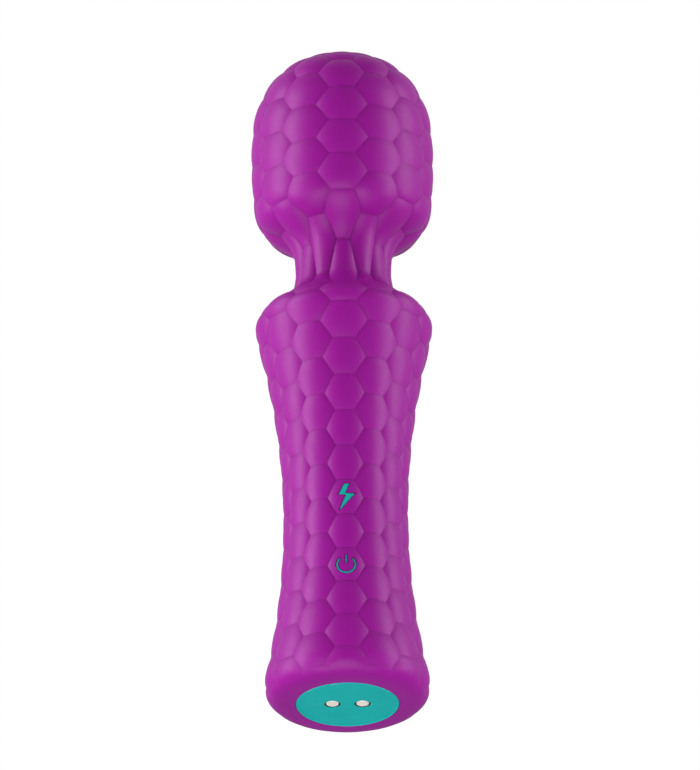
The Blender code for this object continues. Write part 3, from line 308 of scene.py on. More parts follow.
class Wiring:
    """Adds and links the nodes of one node tree."""

    def __init__(self, tree: bpy.types.NodeTree) -> None:
        """Keeps the tree that is wired."""
        self.tree = tree

    def feed(self, target: Node, inputs: Inputs) -> None:
        """Gives a node's sockets what they get.

        Args:
            target: The node.
            inputs: Another node's socket, or a plain value, by the name or number of the socket.
        """
        for key, value in inputs.items():
            if isinstance(value, Socket):
                self.tree.links.new(value, target.inputs[key])
            else:
                target.inputs[key].default_value = value

    def node(self, kind: str, inputs: Inputs | None = None, **settings: object) -> Node:
        """Adds one node.

        Args:
            kind: The node's type name.
            inputs: What its sockets get, by name or number.
            **settings: The node's own settings.

        Returns:
            The new node.
        """
        made = self.tree.nodes.new(kind)
        for name, value in settings.items():
            setattr(made, name, value)
        self.feed(made, inputs or {})
        return made

    def math(self, operation: str, first: object, second: object) -> Socket:
        """Adds a Math node and returns its value."""
        return self.node("ShaderNodeMath", {0: first, 1: second}, operation=operation).outputs[0]

    def spread(self, value: Socket, start: tuple[object, object], stop: Point2 = (0.0, 1.0)) -> Socket:
        """Maps a value from one range to another and returns its socket."""
        return self.node("ShaderNodeMapRange", {
            "Value": value, "From Min": start[0], "From Max": start[1],
            "To Min": stop[0], "To Max": stop[1]}).outputs["Result"]

    def mix(self, share: Socket, first: object, second: object) -> Socket:
        """Mixes two colours and returns the colour's socket."""
        # A mix node of colours takes them at its inputs 6 and 7, and gives the mix at its output 2
        return self.node("ShaderNodeMix", {0: share, 6: first, 7: second}, data_type="RGBA").outputs[2]

    def noise(self, scale: Socket, detail: float, roughness: float = 0.5,
              where: Socket | None = None) -> Socket:
        """Adds a noise texture.

        Args:
            scale: How fine it is.
            detail: How many finer layers it has.
            roughness: How strong those are.
            where: Its coordinates, or the object's own where none are given.

        Returns:
            The socket of its value.
        """
        if where is None:
            where = self.node("ShaderNodeTexCoord").outputs["Object"]
        return self.node("ShaderNodeTexNoise", {
            "Vector": where, "Scale": scale, "Detail": detail, "Roughness": roughness}).outputs["Fac"]


def new_material(name: str) -> tuple[bpy.types.Material, Wiring, Node]:
    """Makes a material.

    Args:
        name: The material's name.

    Returns:
        The material, its wiring and its shader.
    """
    made = bpy.data.materials.new(name)
    made.use_nodes = True
    return made, Wiring(made.node_tree), made.node_tree.nodes["Principled BSDF"]


Maker = Callable[[Wiring, Wires], Wires]


class Effect(Enum):
    """Surface effects that several finishes share."""

    GRAIN = "fine_grain"
    CLOUD = "cloudy_colour"
    # Worn edges, which on the teal plate also carry a painted highlight
    WEAR_AND_EDGE_LIGHT = "worn_and_lit_edges"
    BRUSHED = "brushed_lines"


class EffectLibrary:
    """Builds the node group of each shared effect once and hands it out."""

    VALUE = "NodeSocketFloat"
    COLOUR = "NodeSocketColor"
    TONE_SHARE = 0.06
    CLOUD_RANGE = (0.34, 0.66)
    PATCH_RANGE = (0.4, 0.62)
    EDGE_FROM = 0.52

    def __init__(self) -> None:
        """Lists each effect's inputs with their usual values, its outputs and what wires it."""
        self._groups: dict[Effect, bpy.types.NodeTree] = {}
        self._plans: dict[Effect, tuple[dict[str, object], dict[str, str], Maker]] = {
            Effect.GRAIN: ({"Scale": 1000.0}, {"Height": self.VALUE, "Tone": self.VALUE}, self._grain),
            Effect.CLOUD: ({"Scale": 100.0, "First": (1.0, 1.0, 1.0, 1.0), "Second": (0.0, 0.0, 0.0, 1.0)},
                           {"Colour": self.COLOUR}, self._cloud),
            Effect.WEAR_AND_EDGE_LIGHT: ({"Scale": 500.0, "Reach": 0.08}, {"Mask": self.VALUE}, self._wear_and_edge_light),
            Effect.BRUSHED: ({"Scale": 800.0, "Along": 0.03}, {"Height": self.VALUE}, self._brushed)}

    def place(self, wiring: Wiring, effect: Effect, inputs: Inputs) -> Node:
        """Puts an effect's group into a material, with values for its inputs."""
        return wiring.node("ShaderNodeGroup", inputs, node_tree=self._group(effect))

    def _group(self, effect: Effect) -> bpy.types.NodeTree:
        """Makes an effect's group at its first use.

        Args:
            effect: Which effect.

        Returns:
            The group's node tree.
        """
        if effect not in self._groups:
            tree = bpy.data.node_groups.new(effect.value, "ShaderNodeTree")
            inputs, outputs, wire = self._plans[effect]
            for name, value in inputs.items():
                kind = self.COLOUR if isinstance(value, tuple) else self.VALUE
                tree.interface.new_socket(name, in_out="INPUT", socket_type=kind).default_value = value
            for name, kind in outputs.items():
                tree.interface.new_socket(name, in_out="OUTPUT", socket_type=kind)
            wiring = Wiring(tree)
            given = wiring.node("NodeGroupInput").outputs
            wiring.node("NodeGroupOutput", wire(wiring, given))
            self._groups[effect] = tree
        return self._groups[effect]

    def _grain(self, wiring: Wiring, given: Wires) -> Wires:
        """Wires a fine bumpy grain and a slow wandering of its tone."""
        slow = wiring.math("MULTIPLY", given["Scale"], self.TONE_SHARE)
        return {"Height": wiring.noise(given["Scale"], detail=3.0, roughness=0.6),
                "Tone": wiring.noise(slow, detail=4.0)}

    def _cloud(self, wiring: Wiring, given: Wires) -> Wires:
        """Wires a soft cloudy change between two colours."""
        share = wiring.spread(wiring.noise(given["Scale"], detail=5.0, roughness=0.55), self.CLOUD_RANGE)
        return {"Colour": wiring.mix(share, given["First"], given["Second"])}

    def _wear_and_edge_light(self, wiring: Wiring, given: Wires) -> Wires:
        """Wires a patchy mask along outer edges, for wear and, on the teal plate, a painted edge highlight.

        Args:
            wiring: The group's wiring.
            given: The group's inputs.

        Returns:
            What goes to the group's outputs.
        """
        reach = (self.EDGE_FROM, wiring.math("ADD", given["Reach"], self.EDGE_FROM))
        edge = wiring.spread(wiring.node("ShaderNodeNewGeometry").outputs["Pointiness"], reach)
        patches = wiring.spread(wiring.noise(given["Scale"], detail=4.0), self.PATCH_RANGE)
        return {"Mask": wiring.math("MULTIPLY", edge, patches)}

    def _brushed(self, wiring: Wiring, given: Wires) -> Wires:
        """Wires fine lines that run along the wand.

        Args:
            wiring: The group's wiring.
            given: The group's inputs.

        Returns:
            What goes to the group's outputs.
        """
        where = wiring.node("ShaderNodeTexCoord").outputs["Object"]
        stretch = wiring.node("ShaderNodeCombineXYZ", {"X": 1.0, "Y": given["Along"], "Z": 1.0})
        pulled = wiring.node("ShaderNodeVectorMath", {0: where, 1: stretch.outputs[0]}, operation="MULTIPLY")
        return {"Height": wiring.noise(given["Scale"], detail=3.0, where=pulled.outputs["Vector"])}


@dataclass(frozen=True)
class Finish:
    """One moulded, plated, cast or wrapped surface.

    The sizes of its cloud and grain are in metres, and its swing is how far the roughness wanders as the
    grain's tone runs over its usual range.
    """

    slot: str
    colour: Colour
    second: Colour
    roughness: float
    swing: float = 0.08
    metallic: float = 0.0
    cloud_size: float = 0.006
    grain_size: float = 0.0003
    grain_depth: float = 0.00002
    # How far edges take the worn colour; on the teal plate this is partly real wear and partly a painted
    # highlight
    wear_and_edge_light: float = 0.0
    worn_and_lit: Colour = (0.8, 0.8, 0.8)
    brushed: bool = False
    coat: float = 0.0
    coat_roughness: float = 0.12
    specular: float = 0.5
    tone_range: Point2 = (0.3, 0.7)

    def material(self, effects: EffectLibrary) -> bpy.types.Material:
        """Makes the finish's material.

        Args:
            effects: The shared effects.

        Returns:
            The material.
        """
        made, wiring, shader = new_material(self.slot)
        made.diffuse_color = rgba(self.colour)
        grain = effects.place(wiring, Effect.GRAIN, {"Scale": 1.0 / self.grain_size})
        colour, height, roughness = self.surface(wiring, effects, grain)
        bump = wiring.node("ShaderNodeBump", {
            "Height": height, "Strength": 1.0, "Distance": self.grain_depth})
        wiring.feed(shader, {
            "Base Color": colour, "Roughness": roughness, "Normal": bump.outputs["Normal"],
            "Metallic": self.metallic, "Coat Weight": self.coat, "Coat Roughness": self.coat_roughness,
            "Specular IOR Level": self.specular})
        return made

    def surface(self, wiring: Wiring, effects: EffectLibrary, grain: Node) -> tuple[Socket, Socket, Socket]:
        """Wires what changes over the surface.

        Args:
            wiring: The material's wiring.
            effects: The shared effects.
            grain: The material's grain group.

        Returns:
            The sockets of the colour, the bump's height and the roughness.
        """
        cloud = effects.place(wiring, Effect.CLOUD, {
            "Scale": 1.0 / self.cloud_size, "First": rgba(self.colour), "Second": rgba(self.second)})
        colour = cloud.outputs["Colour"]
        if self.wear_and_edge_light > 0.0:
            edge = effects.place(wiring, Effect.WEAR_AND_EDGE_LIGHT, {"Scale": 2.0 / self.cloud_size})
            worn_and_lit_share = wiring.math("MULTIPLY", edge.outputs["Mask"], self.wear_and_edge_light)
            colour = wiring.mix(worn_and_lit_share, colour, rgba(self.worn_and_lit))
        bumps = grain
        if self.brushed:
            bumps = effects.place(wiring, Effect.BRUSHED, {"Scale": 1.0 / self.grain_size})
        roughness = wiring.spread(grain.outputs["Tone"], self.tone_range,
                                  (self.roughness - self.swing, self.roughness + self.swing))
        return colour, bumps.outputs["Height"], roughness


@dataclass(frozen=True)
class SiliconeFinish(Finish):
    """Soft moulded silicone with painted shade in its creases, which are also duller than its crowns."""

    # Painted shade: the darker colour that the creases take, standing for the shade that falls in them
    crease: Colour = (0.2, 0.0, 0.18)
    crease_shade_share: float = 0.6
    crease_dullness: float = 0.12

    def surface(self, wiring: Wiring, effects: EffectLibrary, grain: Node) -> tuple[Socket, Socket, Socket]:
        """Wires the silicone's colour with its painted crease shade, its grain and its dullness.

        Args:
            wiring: The material's wiring.
            effects: The shared effects.
            grain: The material's grain group.

        Returns:
            The sockets of the colour, the bump's height and the roughness.
        """
        colour, height, roughness = super().surface(wiring, effects, grain)
        # Painted shade: closeness to a crease darkens the colour there; the added dullness is the silicone's
        # own roughness
        closeness = wiring.node("ShaderNodeAttribute", attribute_name="crease").outputs["Fac"]
        near = wiring.math("MULTIPLY", closeness, self.crease_shade_share)
        duller = wiring.math("MULTIPLY", near, self.crease_dullness)
        return wiring.mix(near, colour, rgba(self.crease)), height, wiring.math("ADD", roughness, duller)


class Paintbox:
    """Makes each finish's material once and puts it on pieces and CAD nodes."""

    FINISHES: tuple[Finish, ...] = (
        SiliconeFinish("purple_silicone", (0.298, 0.003, 0.275), (0.282, 0.0026, 0.259), 0.46, swing=0.03,
                       cloud_size=0.02, grain_size=0.00012, grain_depth=0.000003, specular=0.25),
        # Painted highlight: the teal's lighter worn colour along its edges is partly wear and partly the
        # light that the bead and hole edges catch
        Finish("teal_plastic", (0.003, 0.44, 0.43), (0.002, 0.41, 0.4), 0.5, swing=0.05, cloud_size=0.008,
               grain_size=0.00015, grain_depth=0.000002, wear_and_edge_light=0.45, worn_and_lit=(0.32, 0.72, 0.70), specular=0.16),
        Finish("teal_ink", (0.014, 0.42, 0.41), (0.010, 0.37, 0.36), 0.45, swing=0.05, cloud_size=0.003,
               grain_size=0.00012, grain_depth=0.000002, specular=0.2),
        Finish("nickel", (0.97, 0.91, 0.84), (0.92, 0.85, 0.78), 0.34, metallic=0.2, cloud_size=0.0015,
               grain_size=0.00005, grain_depth=0.0000008, wear_and_edge_light=0.4, worn_and_lit=(0.92, 0.86, 0.80)),
        Finish("shell_plastic", (0.58, 0.57, 0.55), (0.53, 0.52, 0.50), 0.5, cloud_size=0.012,
               grain_size=0.0003, grain_depth=0.000008, wear_and_edge_light=0.25),
        Finish("key_plastic", (0.72, 0.71, 0.69), (0.66, 0.65, 0.63), 0.42, grain_size=0.0002,
               grain_depth=0.000004, wear_and_edge_light=0.2),
        Finish("board_green", (0.010, 0.16, 0.045), (0.016, 0.22, 0.06), 0.32, cloud_size=0.002,
               grain_size=0.0004, grain_depth=0.000006, wear_and_edge_light=0.6, worn_and_lit=(0.55, 0.45, 0.20), coat=0.2),
        Finish("black_plastic", (0.018, 0.018, 0.020), (0.028, 0.028, 0.030), 0.44, grain_size=0.0002,
               grain_depth=0.000005, wear_and_edge_light=0.3, worn_and_lit=(0.12, 0.12, 0.12)),
        Finish("steel", (0.56, 0.56, 0.57), (0.48, 0.48, 0.49), 0.3, metallic=1.0, grain_size=0.0002,
               grain_depth=0.000003, wear_and_edge_light=0.4, brushed=True),
        Finish("brass", (0.72, 0.52, 0.22), (0.62, 0.43, 0.17), 0.28, metallic=1.0, grain_size=0.0002,
               grain_depth=0.000003, wear_and_edge_light=0.4, worn_and_lit=(0.86, 0.70, 0.40), brushed=True),
        Finish("battery_wrap", (0.05, 0.16, 0.42), (0.04, 0.13, 0.36), 0.26, cloud_size=0.01,
               grain_size=0.0015, grain_depth=0.00003, wear_and_edge_light=0.3, worn_and_lit=(0.3, 0.4, 0.6), coat=0.3),
        Finish("black_foam", (0.022, 0.022, 0.023), (0.035, 0.035, 0.036), 0.9, swing=0.05, cloud_size=0.002,
               grain_size=0.0005, grain_depth=0.0002),
        Finish("black_rubber", (0.020, 0.020, 0.021), (0.032, 0.032, 0.033), 0.66, cloud_size=0.004,
               grain_size=0.0003, grain_depth=0.00001, wear_and_edge_light=0.3, worn_and_lit=(0.10, 0.10, 0.10)),
        Finish("red_wire", (0.50, 0.018, 0.016), (0.42, 0.014, 0.013), 0.38, grain_size=0.0002,
               grain_depth=0.000004),
        Finish("black_wire", (0.016, 0.016, 0.017), (0.026, 0.026, 0.027), 0.38, grain_size=0.0002,
               grain_depth=0.000004),
        Finish("ferrite", (0.060, 0.058, 0.060), (0.095, 0.092, 0.095), 0.55, cloud_size=0.002,
               grain_size=0.00015, grain_depth=0.00001, wear_and_edge_light=0.5, worn_and_lit=(0.25, 0.24, 0.24)),
        Finish("tungsten", (0.34, 0.34, 0.36), (0.27, 0.27, 0.29), 0.42, metallic=1.0, cloud_size=0.0015,
               grain_size=0.0002, grain_depth=0.00001, wear_and_edge_light=0.5, worn_and_lit=(0.6, 0.6, 0.6)),
    )

    def __init__(self) -> None:
        """Makes every material."""
        effects = EffectLibrary()
        self._materials = {finish.slot: finish.material(effects) for finish in self.FINISHES}

    def dress(self, pieces: Sequence[Object], slots: Sequence[str]) -> None:
        """Gives each piece the finish of the slot listed for it."""
        for target, slot in zip(pieces, slots):
            self.coat_node(target, slot)

    def coat_node(self, target: Object, slot: str) -> None:
        """Gives an object a slot's material in place of what it had."""
        target.data.materials.clear()
        target.data.materials.append(self._materials[slot])


# The skin's form

@dataclass(frozen=True)
class WandOutline:
    """Crest line of the skin, as a radius at each height.

    The handle flares both ways from its waist. The neck lists height and radius from the shoulder to the
    widest place of the head. The base's edge and the head's crown are rounded with powers of a sine and a
    cosine.
    """

    base_radius: float = 0.02083
    base_round: float = 0.006
    base_power: float = 2.55
    waist_radius: float = 0.0158
    waist_at: float = 0.051
    neck: tuple[Point2, ...] = (
        (0.103, 0.0226), (0.105, 0.0222), (0.107, 0.0207), (0.109, 0.0181), (0.111, 0.0152), (0.113, 0.0133),
        (0.116, 0.01258), (0.119, 0.01228), (0.122, 0.01231), (0.124, 0.01271), (0.126, 0.01376),
        (0.128, 0.0161), (0.130, 0.0188), (0.132, 0.0208), (0.134, 0.0218), (0.137, 0.0224), (0.141, 0.0228),
        (0.1455, 0.02305), (0.1505, 0.0231))
    head_top: float = 0.02725
    top_power: float = 2.57
    opening: float = 0.01294
    flat_points: int = 20
    round_points: int = 400
    height_step: float = 0.00001

    def radius(self, height: np.ndarray) -> np.ndarray:
        """Gives the crest's radius between the rounded base and the widest place of the head.

        Args:
            height: Places along the wand.

        Returns:
            The radius at each.
        """
        neck_at, neck_radius = np.array(self.neck).T
        lower = (self.waist_at - height) / (self.waist_at - self.base_round)
        upper = (height - self.waist_at) / (neck_at[0] - self.waist_at)
        flare = np.where(height < self.waist_at, (self.base_radius - self.waist_radius) * lower ** 2,
                         (neck_radius[0] - self.waist_radius) * upper ** 2)
        return np.where(height < neck_at[0], self.waist_radius + flare,
                        smooth_curve(neck_at, neck_radius, height))

    def points(self) -> np.ndarray:
        """Lists the crest line from the base opening to the crown.

        Returns:
            Radius and height of each point, close together.
        """
        head_at, head_radius = self.neck[-1]
        turn = np.linspace(0.0, 0.5 * math.pi, self.round_points)
        flat_to = self.base_radius - self.base_round
        flat = np.linspace(self.opening, flat_to, self.flat_points)[:-1]
        foot = flat_to + self.base_round * np.sin(turn) ** (2.0 / self.base_power)
        foot_height = self.base_round * (1.0 - np.cos(turn) ** (2.0 / self.base_power))
        heights = np.arange(self.base_round, head_at, self.height_step)[1:]
        crown = head_radius * np.cos(turn) ** (2.0 / self.top_power)
        crown_height = head_at + self.head_top * np.sin(turn) ** (2.0 / self.top_power)
        return np.column_stack([np.concatenate([flat, foot, self.radius(heights), crown]),
                                np.concatenate([np.zeros(len(flat)), foot_height, heights, crown_height])])


class Meridian:
    """The crest line measured along its own length, with its kinks eased."""

    STEP = 0.0001
    EASE = 0.0011
    EASE_REACH = 4.0

    def __init__(self, outline: WandOutline) -> None:
        """Measures the crest line and eases its kinks.

        Args:
            outline: Whose crest line it is.
        """
        evenly = self._resample(outline.points())
        reach = int(self.EASE_REACH * self.EASE / self.STEP)
        weights = np.exp(-0.5 * (np.arange(-reach, reach + 1) * self.STEP / self.EASE) ** 2)
        start = 2.0 * evenly[0] - evenly[reach:0:-1]
        stop = evenly[-2:-reach - 2:-1] * (-1.0, 1.0)
        padded = np.concatenate([start, evenly, stop])
        eased = np.column_stack([np.convolve(padded[:, axis], weights / weights.sum(), "valid")
                                 for axis in (0, 1)])
        eased[0], eased[-1] = evenly[0], (0.0, eased[-1, 1])
        even = self._resample(eased)
        self.radius, self.height = even[:, 0], even[:, 1]
        self.run = self._lengths(even)
        slope = np.gradient(even, self.run, axis=0)
        slope /= np.linalg.norm(slope, axis=1)[:, None]
        self.out_radius, self.out_height = slope[:, 1], -slope[:, 0]

    def run_at(self, height: float | np.ndarray) -> np.ndarray:
        """Returns distances along the crest line at heights above the base's flat."""
        return np.interp(height, self.height, self.run)

    def at(self, run: np.ndarray) -> tuple[np.ndarray, np.ndarray, np.ndarray, np.ndarray]:
        """Returns the crest line's radius, height and the two parts of its normal at distances along it."""
        return tuple(np.interp(run, self.run, values) for values in
                     (self.radius, self.height, self.out_radius, self.out_height))

    @staticmethod
    def _lengths(points: np.ndarray) -> np.ndarray:
        """Returns the distance of each point along its line."""
        return np.concatenate([[0.0], np.cumsum(np.hypot(*np.diff(points, axis=0).T))])

    def _resample(self, points: np.ndarray) -> np.ndarray:
        """Spaces points evenly along their line.

        Args:
            points: Radius and height of each point.

        Returns:
            The same line with points one step apart.
        """
        run = self._lengths(points)
        even = np.linspace(0.0, run[-1], int(run[-1] / self.STEP))
        return np.column_stack([np.interp(even, run, points[:, axis]) for axis in (0, 1)])


class ScaleLattice:
    """The hexagonal scales: where each place of their pattern lies on the skin, and how deep.

    A scale is one row high. Its corners are 1 and 2 turns from its middle, the columns are 3 turns apart, and
    every second column starts half a row higher. The rows list the height of each line that they start at.
    """

    COLUMNS = 14
    TURNS = 3 * COLUMNS
    CORNER_DEPTH = 0.00076
    STEEPNESS = 1.25
    CREASE_WIDTH = 0.05
    BASE_FADE = 0.0045
    NECK_DEEPER = 0.34
    NECK_ROWS = (10.7, 13.4)
    NECK_EASE = 0.8
    CROWN_FROM = 0.16
    CROWN_FADE = (0.007, 0.021)
    CROWN_PITCH = 0.0093
    CURVE_POINTS = 6000
    SURFACE_ROUNDS = 4
    ROWS = ((0.0, 0.0069), (1.0, 0.01651), (2.0, 0.0262), (4.0, 0.04525), (6.0, 0.06407), (8.0, 0.08267),
            (10.0, 0.10121), (11.0, 0.1088), (11.5, 0.11432), (12.0, 0.12311), (12.5, 0.12806),
            (13.0, 0.13257), (14.0, 0.14214), (15.0, 0.15143), (16.0, 0.16103), (17.0, 0.17088))

    def __init__(self, meridian: Meridian) -> None:
        """Lays the rows of scales along a crest line.

        Args:
            meridian: The crest line.
        """
        self.meridian = meridian
        lines, heights = np.array(self.ROWS).T
        runs = meridian.run_at(heights)
        pitch = (runs[1] - runs[0]) / (lines[1] - lines[0])
        total = meridian.run[-1]
        last = lines[-1] + (total - runs[-1]) / self.CROWN_PITCH
        lines = np.concatenate([[-runs[0] / pitch], lines, [last]])
        runs = np.concatenate([[0.0], runs, [total]])
        self.first, self.last = float(lines[0]), float(lines[-1])
        self._rows = np.linspace(self.first, self.last, self.CURVE_POINTS)
        self._runs = smooth_curve(lines, runs, self._rows)

    def rows_at(self, height: float | np.ndarray) -> np.ndarray:
        """Returns the row numbers at heights."""
        return np.interp(self.meridian.run_at(height), self._runs, self._rows)

    def crest(self, row: np.ndarray) -> tuple[np.ndarray, np.ndarray, np.ndarray, np.ndarray]:
        """Returns the crest line's radius, height and the two parts of its normal at rows."""
        return self.meridian.at(np.interp(row, self._rows, self._runs))

    def depth(self, turn: np.ndarray, row: np.ndarray) -> np.ndarray:
        """Returns how far the surface lies under the crest line, most at a scale's corners."""
        away, _ = self._from_middles(turn, row)
        return self.CORNER_DEPTH * away ** self.STEEPNESS * self._relief(row)

    def crease(self, turn: np.ndarray, row: np.ndarray) -> np.ndarray:
        """Gives how close places are to the crease between two scales.

        Args:
            turn: Places round the wand.
            row: Places along it.

        Returns:
            1 on a crease, 0 clear of it.
        """
        first, second = self._from_middles(turn, row)
        away = (second - first) / (2.0 * math.sqrt(3.0))
        return np.clip((1.0 - away / self.CREASE_WIDTH) * self._relief(row), 0.0, 1.0)

    def _from_middles(self, turn: np.ndarray, row: np.ndarray) -> np.ndarray:
        """Measures how far places are from the middles of the scales round them.

        Args:
            turn: Places round the wand.
            row: Places along it.

        Returns:
            Squares of the distances to the nearest and the next middle, where a scale's corner is at 1.
        """
        column = np.floor(np.asarray(turn) / 3.0)
        found = []
        for side in (0, 1):
            shift = 0.5 + 0.5 * ((column + side) % 2)
            across = (turn - 3.0 * (column + side)) / 2.0
            under = np.floor(row - shift) + shift
            found += [across ** 2 + 3.0 * (row - under - step) ** 2 for step in (0.0, 1.0)]
        return np.sort(np.array(found), axis=0)[:2]

    def _relief(self, row: np.ndarray) -> np.ndarray:
        """Gives how much of the scales' relief there is, which fades at the base and the crown.

        Args:
            row: Places along the wand.

        Returns:
            1 on the handle and the head, and more on the neck.
        """
        radius, height, _, _ = self.crest(row)
        low, high = self.CROWN_FADE
        crown = np.where(height > self.CROWN_FROM, smoothstep((radius - low) / (high - low)), 1.0)
        neck_from, neck_to = self.NECK_ROWS
        rise = smoothstep((row - neck_from) / self.NECK_EASE)
        fall = smoothstep((neck_to - row) / self.NECK_EASE)
        neck = 1.0 + self.NECK_DEEPER * rise * fall
        return smoothstep(height / self.BASE_FADE) * crown * neck

    def points(self, turn: np.ndarray, row: np.ndarray, inset: np.ndarray) -> np.ndarray:
        """Places the pattern on the wand.

        Args:
            turn: Places round the wand.
            row: Places along it.
            inset: How far each lies under the crest line.

        Returns:
            One point of the frame for each place.
        """
        radius, height, out_radius, out_height = self.crest(row)
        radius = radius - inset * out_radius
        height = height - inset * out_height
        angle = FULL_TURN * np.asarray(turn) / self.TURNS
        return np.column_stack([radius * np.sin(angle), BASE_Y + height, AXIS_Z + radius * np.cos(angle)])

    def middle(self, row: float, inset: float = 0.0) -> np.ndarray:
        """Returns the point in the middle of the scale that starts at a row, in the buttons' column."""
        return self.points(np.zeros(1), np.array([row + 0.5]), np.array([inset]))[0]

    def top_over(self, across: np.ndarray, height: np.ndarray) -> np.ndarray:
        """Finds the skin's surface over places on the buttons' side.

        Args:
            across: Places across the wand.
            height: Places along it.

        Returns:
            How far out of the axis the surface is there.
        """
        row = self.rows_at(height)
        crest = self.crest(row)[0]
        radius = crest
        for _ in range(self.SURFACE_ROUNDS):
            turn = np.arcsin(np.clip(across / radius, -1.0, 1.0)) * self.TURNS / FULL_TURN
            radius = crest - self.depth(turn, row)
        return np.sqrt(radius * radius - across * across)


class Layer(Enum):
    """The two faces of the skin."""

    OUTER = 0
    INNER = 1


class ScaledMesh:
    """Collects the welded vertices and the faces of scaled skin."""

    OUTER_SHARES = (1.0, 0.965, 0.90, 0.79, 0.62, 0.42, 0.2)
    INNER_SHARES = (1.0, 0.6)
    EDGE_SEGMENTS = 6
    CUT_SEGMENTS = 8
    WELDS_PER_UNIT = 10000
    THINNEST = 1e-6

    def __init__(self, lattice: ScaleLattice) -> None:
        """Starts with nothing in the mesh.

        Args:
            lattice: The pattern of the scales.
        """
        self.lattice = lattice
        self.turns: list[float] = []
        self.rows: list[float] = []
        self.layers: list[Layer] = []
        self.faces: list[Face] = []
        self.drops: dict[int, int] = {}
        self._known: dict[tuple[int, int, Layer], int] = {}

    def vertex(self, turn: float, row: float, layer: Layer) -> int:
        """Gives the vertex at a place, welded to any that is there already.

        Args:
            turn: Where round the wand.
            row: Where along it.
            layer: Which face of the skin.

        Returns:
            The vertex's number.
        """
        whole = self.lattice.TURNS * self.WELDS_PER_UNIT
        key = (round(turn * self.WELDS_PER_UNIT) % whole, round(row * self.WELDS_PER_UNIT), layer)
        if key not in self._known:
            self._known[key] = len(self.turns)
            self.turns.append(turn)
            self.rows.append(row)
            self.layers.append(layer)
        return self._known[key]

    def face(self, corners: Sequence[int], layer: Layer) -> None:
        """Adds a face that is counter-clockwise seen from outside, turned over for the inner face."""
        self.faces.append(tuple(corners) if layer is Layer.OUTER else tuple(reversed(corners)))

    def outline(self, column: int, row: float, low: float = -math.inf,
                high: float = math.inf) -> list[Point2]:
        """Gives a scale's outline between two cut lines.

        Args:
            column: The scale's column.
            row: The line that it starts at.
            low: The lower cut line.
            high: The upper cut line.

        Returns:
            Places round the outline, counter-clockwise, or none where nothing is left.
        """
        middle = 3.0 * column
        corners = [(middle - 1, row), (middle + 1, row), (middle + 2, row + 0.5), (middle + 1, row + 1),
                   (middle - 1, row + 1), (middle - 2, row + 0.5)]
        for line, keep in ((low, 1.0), (high, -1.0)):
            kept: list[Point2] = []
            for one, two in around(corners):
                inside, following = keep * (one[1] - line) >= 0.0, keep * (two[1] - line) >= 0.0
                if inside:
                    kept.append(one)
                if inside != following:
                    share = (line - one[1]) / (two[1] - one[1])
                    kept.append((one[0] + share * (two[0] - one[0]), line))
            corners = kept
        lines = [line for _, line in corners]
        if len(corners) < 3 or max(lines) - min(lines) < self.THINNEST:
            return []
        made: list[Point2] = []
        for one, two in around(corners):
            level = one[1] == two[1]
            share_left = 1.0 if level else abs(two[1] - one[1]) / 0.5
            count = max(2, round(self.EDGE_SEGMENTS * share_left))
            if level and one[1] in (low, high):
                count = self.CUT_SEGMENTS
            for step in range(count):
                share = step / count
                made.append((one[0] + share * (two[0] - one[0]), one[1] + share * (two[1] - one[1])))
        return made

    def scale(self, outline: Sequence[Point2], shares: Sequence[float], layer: Layer) -> list[int]:
        """Fills one scale with rings of faces.

        Args:
            outline: Places round it.
            shares: Size of each ring against the outline, from the outermost inwards.
            layer: Which face of the skin.

        Returns:
            The vertices of the outermost ring.
        """
        middle_turn = sum(turn for turn, _ in outline) / len(outline)
        middle_row = sum(row for _, row in outline) / len(outline)
        rings = [[self.vertex(middle_turn + share * (turn - middle_turn),
                              middle_row + share * (row - middle_row), layer) for turn, row in outline]
                 for share in shares]
        for outer, inner in zip(rings, rings[1:]):
            for corners in quads(outer, inner):
                self.face(corners, layer)
        self._fan(rings[-1], self.vertex(middle_turn, middle_row, layer), layer)
        return rings[0]

    def scales(self, low: float, high: float, windows: Sequence[tuple[int, float]] = ()) -> None:
        """Fills both faces of the skin between two cut lines.

        Args:
            low: The lower cut line.
            high: The upper cut line.
            windows: Column and row of each scale that is left out as an opening.
        """
        for column in range(self.lattice.COLUMNS):
            # A row more at both ends takes in the scales that a cut line crosses
            start = math.floor(low) - 1 + 0.5 * (column % 2)
            for number in range(math.ceil(high - low) + 3):
                row = start + number
                outline = self.outline(column, row, low, high)
                if outline and (column, row) in windows:
                    self._window(outline)
                elif outline:
                    self.scale(outline, self.OUTER_SHARES, Layer.OUTER)
                    self.scale(outline, self.INNER_SHARES, Layer.INNER)

    def bands(self, start: float, stop: float, count: int, layer: Layer) -> None:
        """Adds plain rings past a cut line.

        Args:
            start: The cut line's row.
            stop: The row of the last ring.
            count: How many rings are added.
            layer: Which face of the skin.
        """
        ring = self._ring(start, layer)
        turns = [self.turns[number] for number in ring]
        for step in range(1, count + 1):
            row = start + (stop - start) * step / count
            following = [self.vertex(turn, row, layer) for turn in turns]
            for corners in quads(ring, following):
                self.face(corners if stop > start else corners[::-1], layer)
            ring = following

    def crown(self, row: float, layer: Layer) -> None:
        """Closes a face of the skin at the crown, over its last ring."""
        self._fan(self._ring(row, layer), self.vertex(0.0, self.lattice.last, layer), layer)

    def rim(self, row: float, upper: bool) -> None:
        """Joins the two faces of the skin at a rim, where it ends upwards or downwards."""
        for corners in quads(self._ring(row, Layer.OUTER), self._ring(row, Layer.INNER)):
            self.faces.append(corners if upper else corners[::-1])

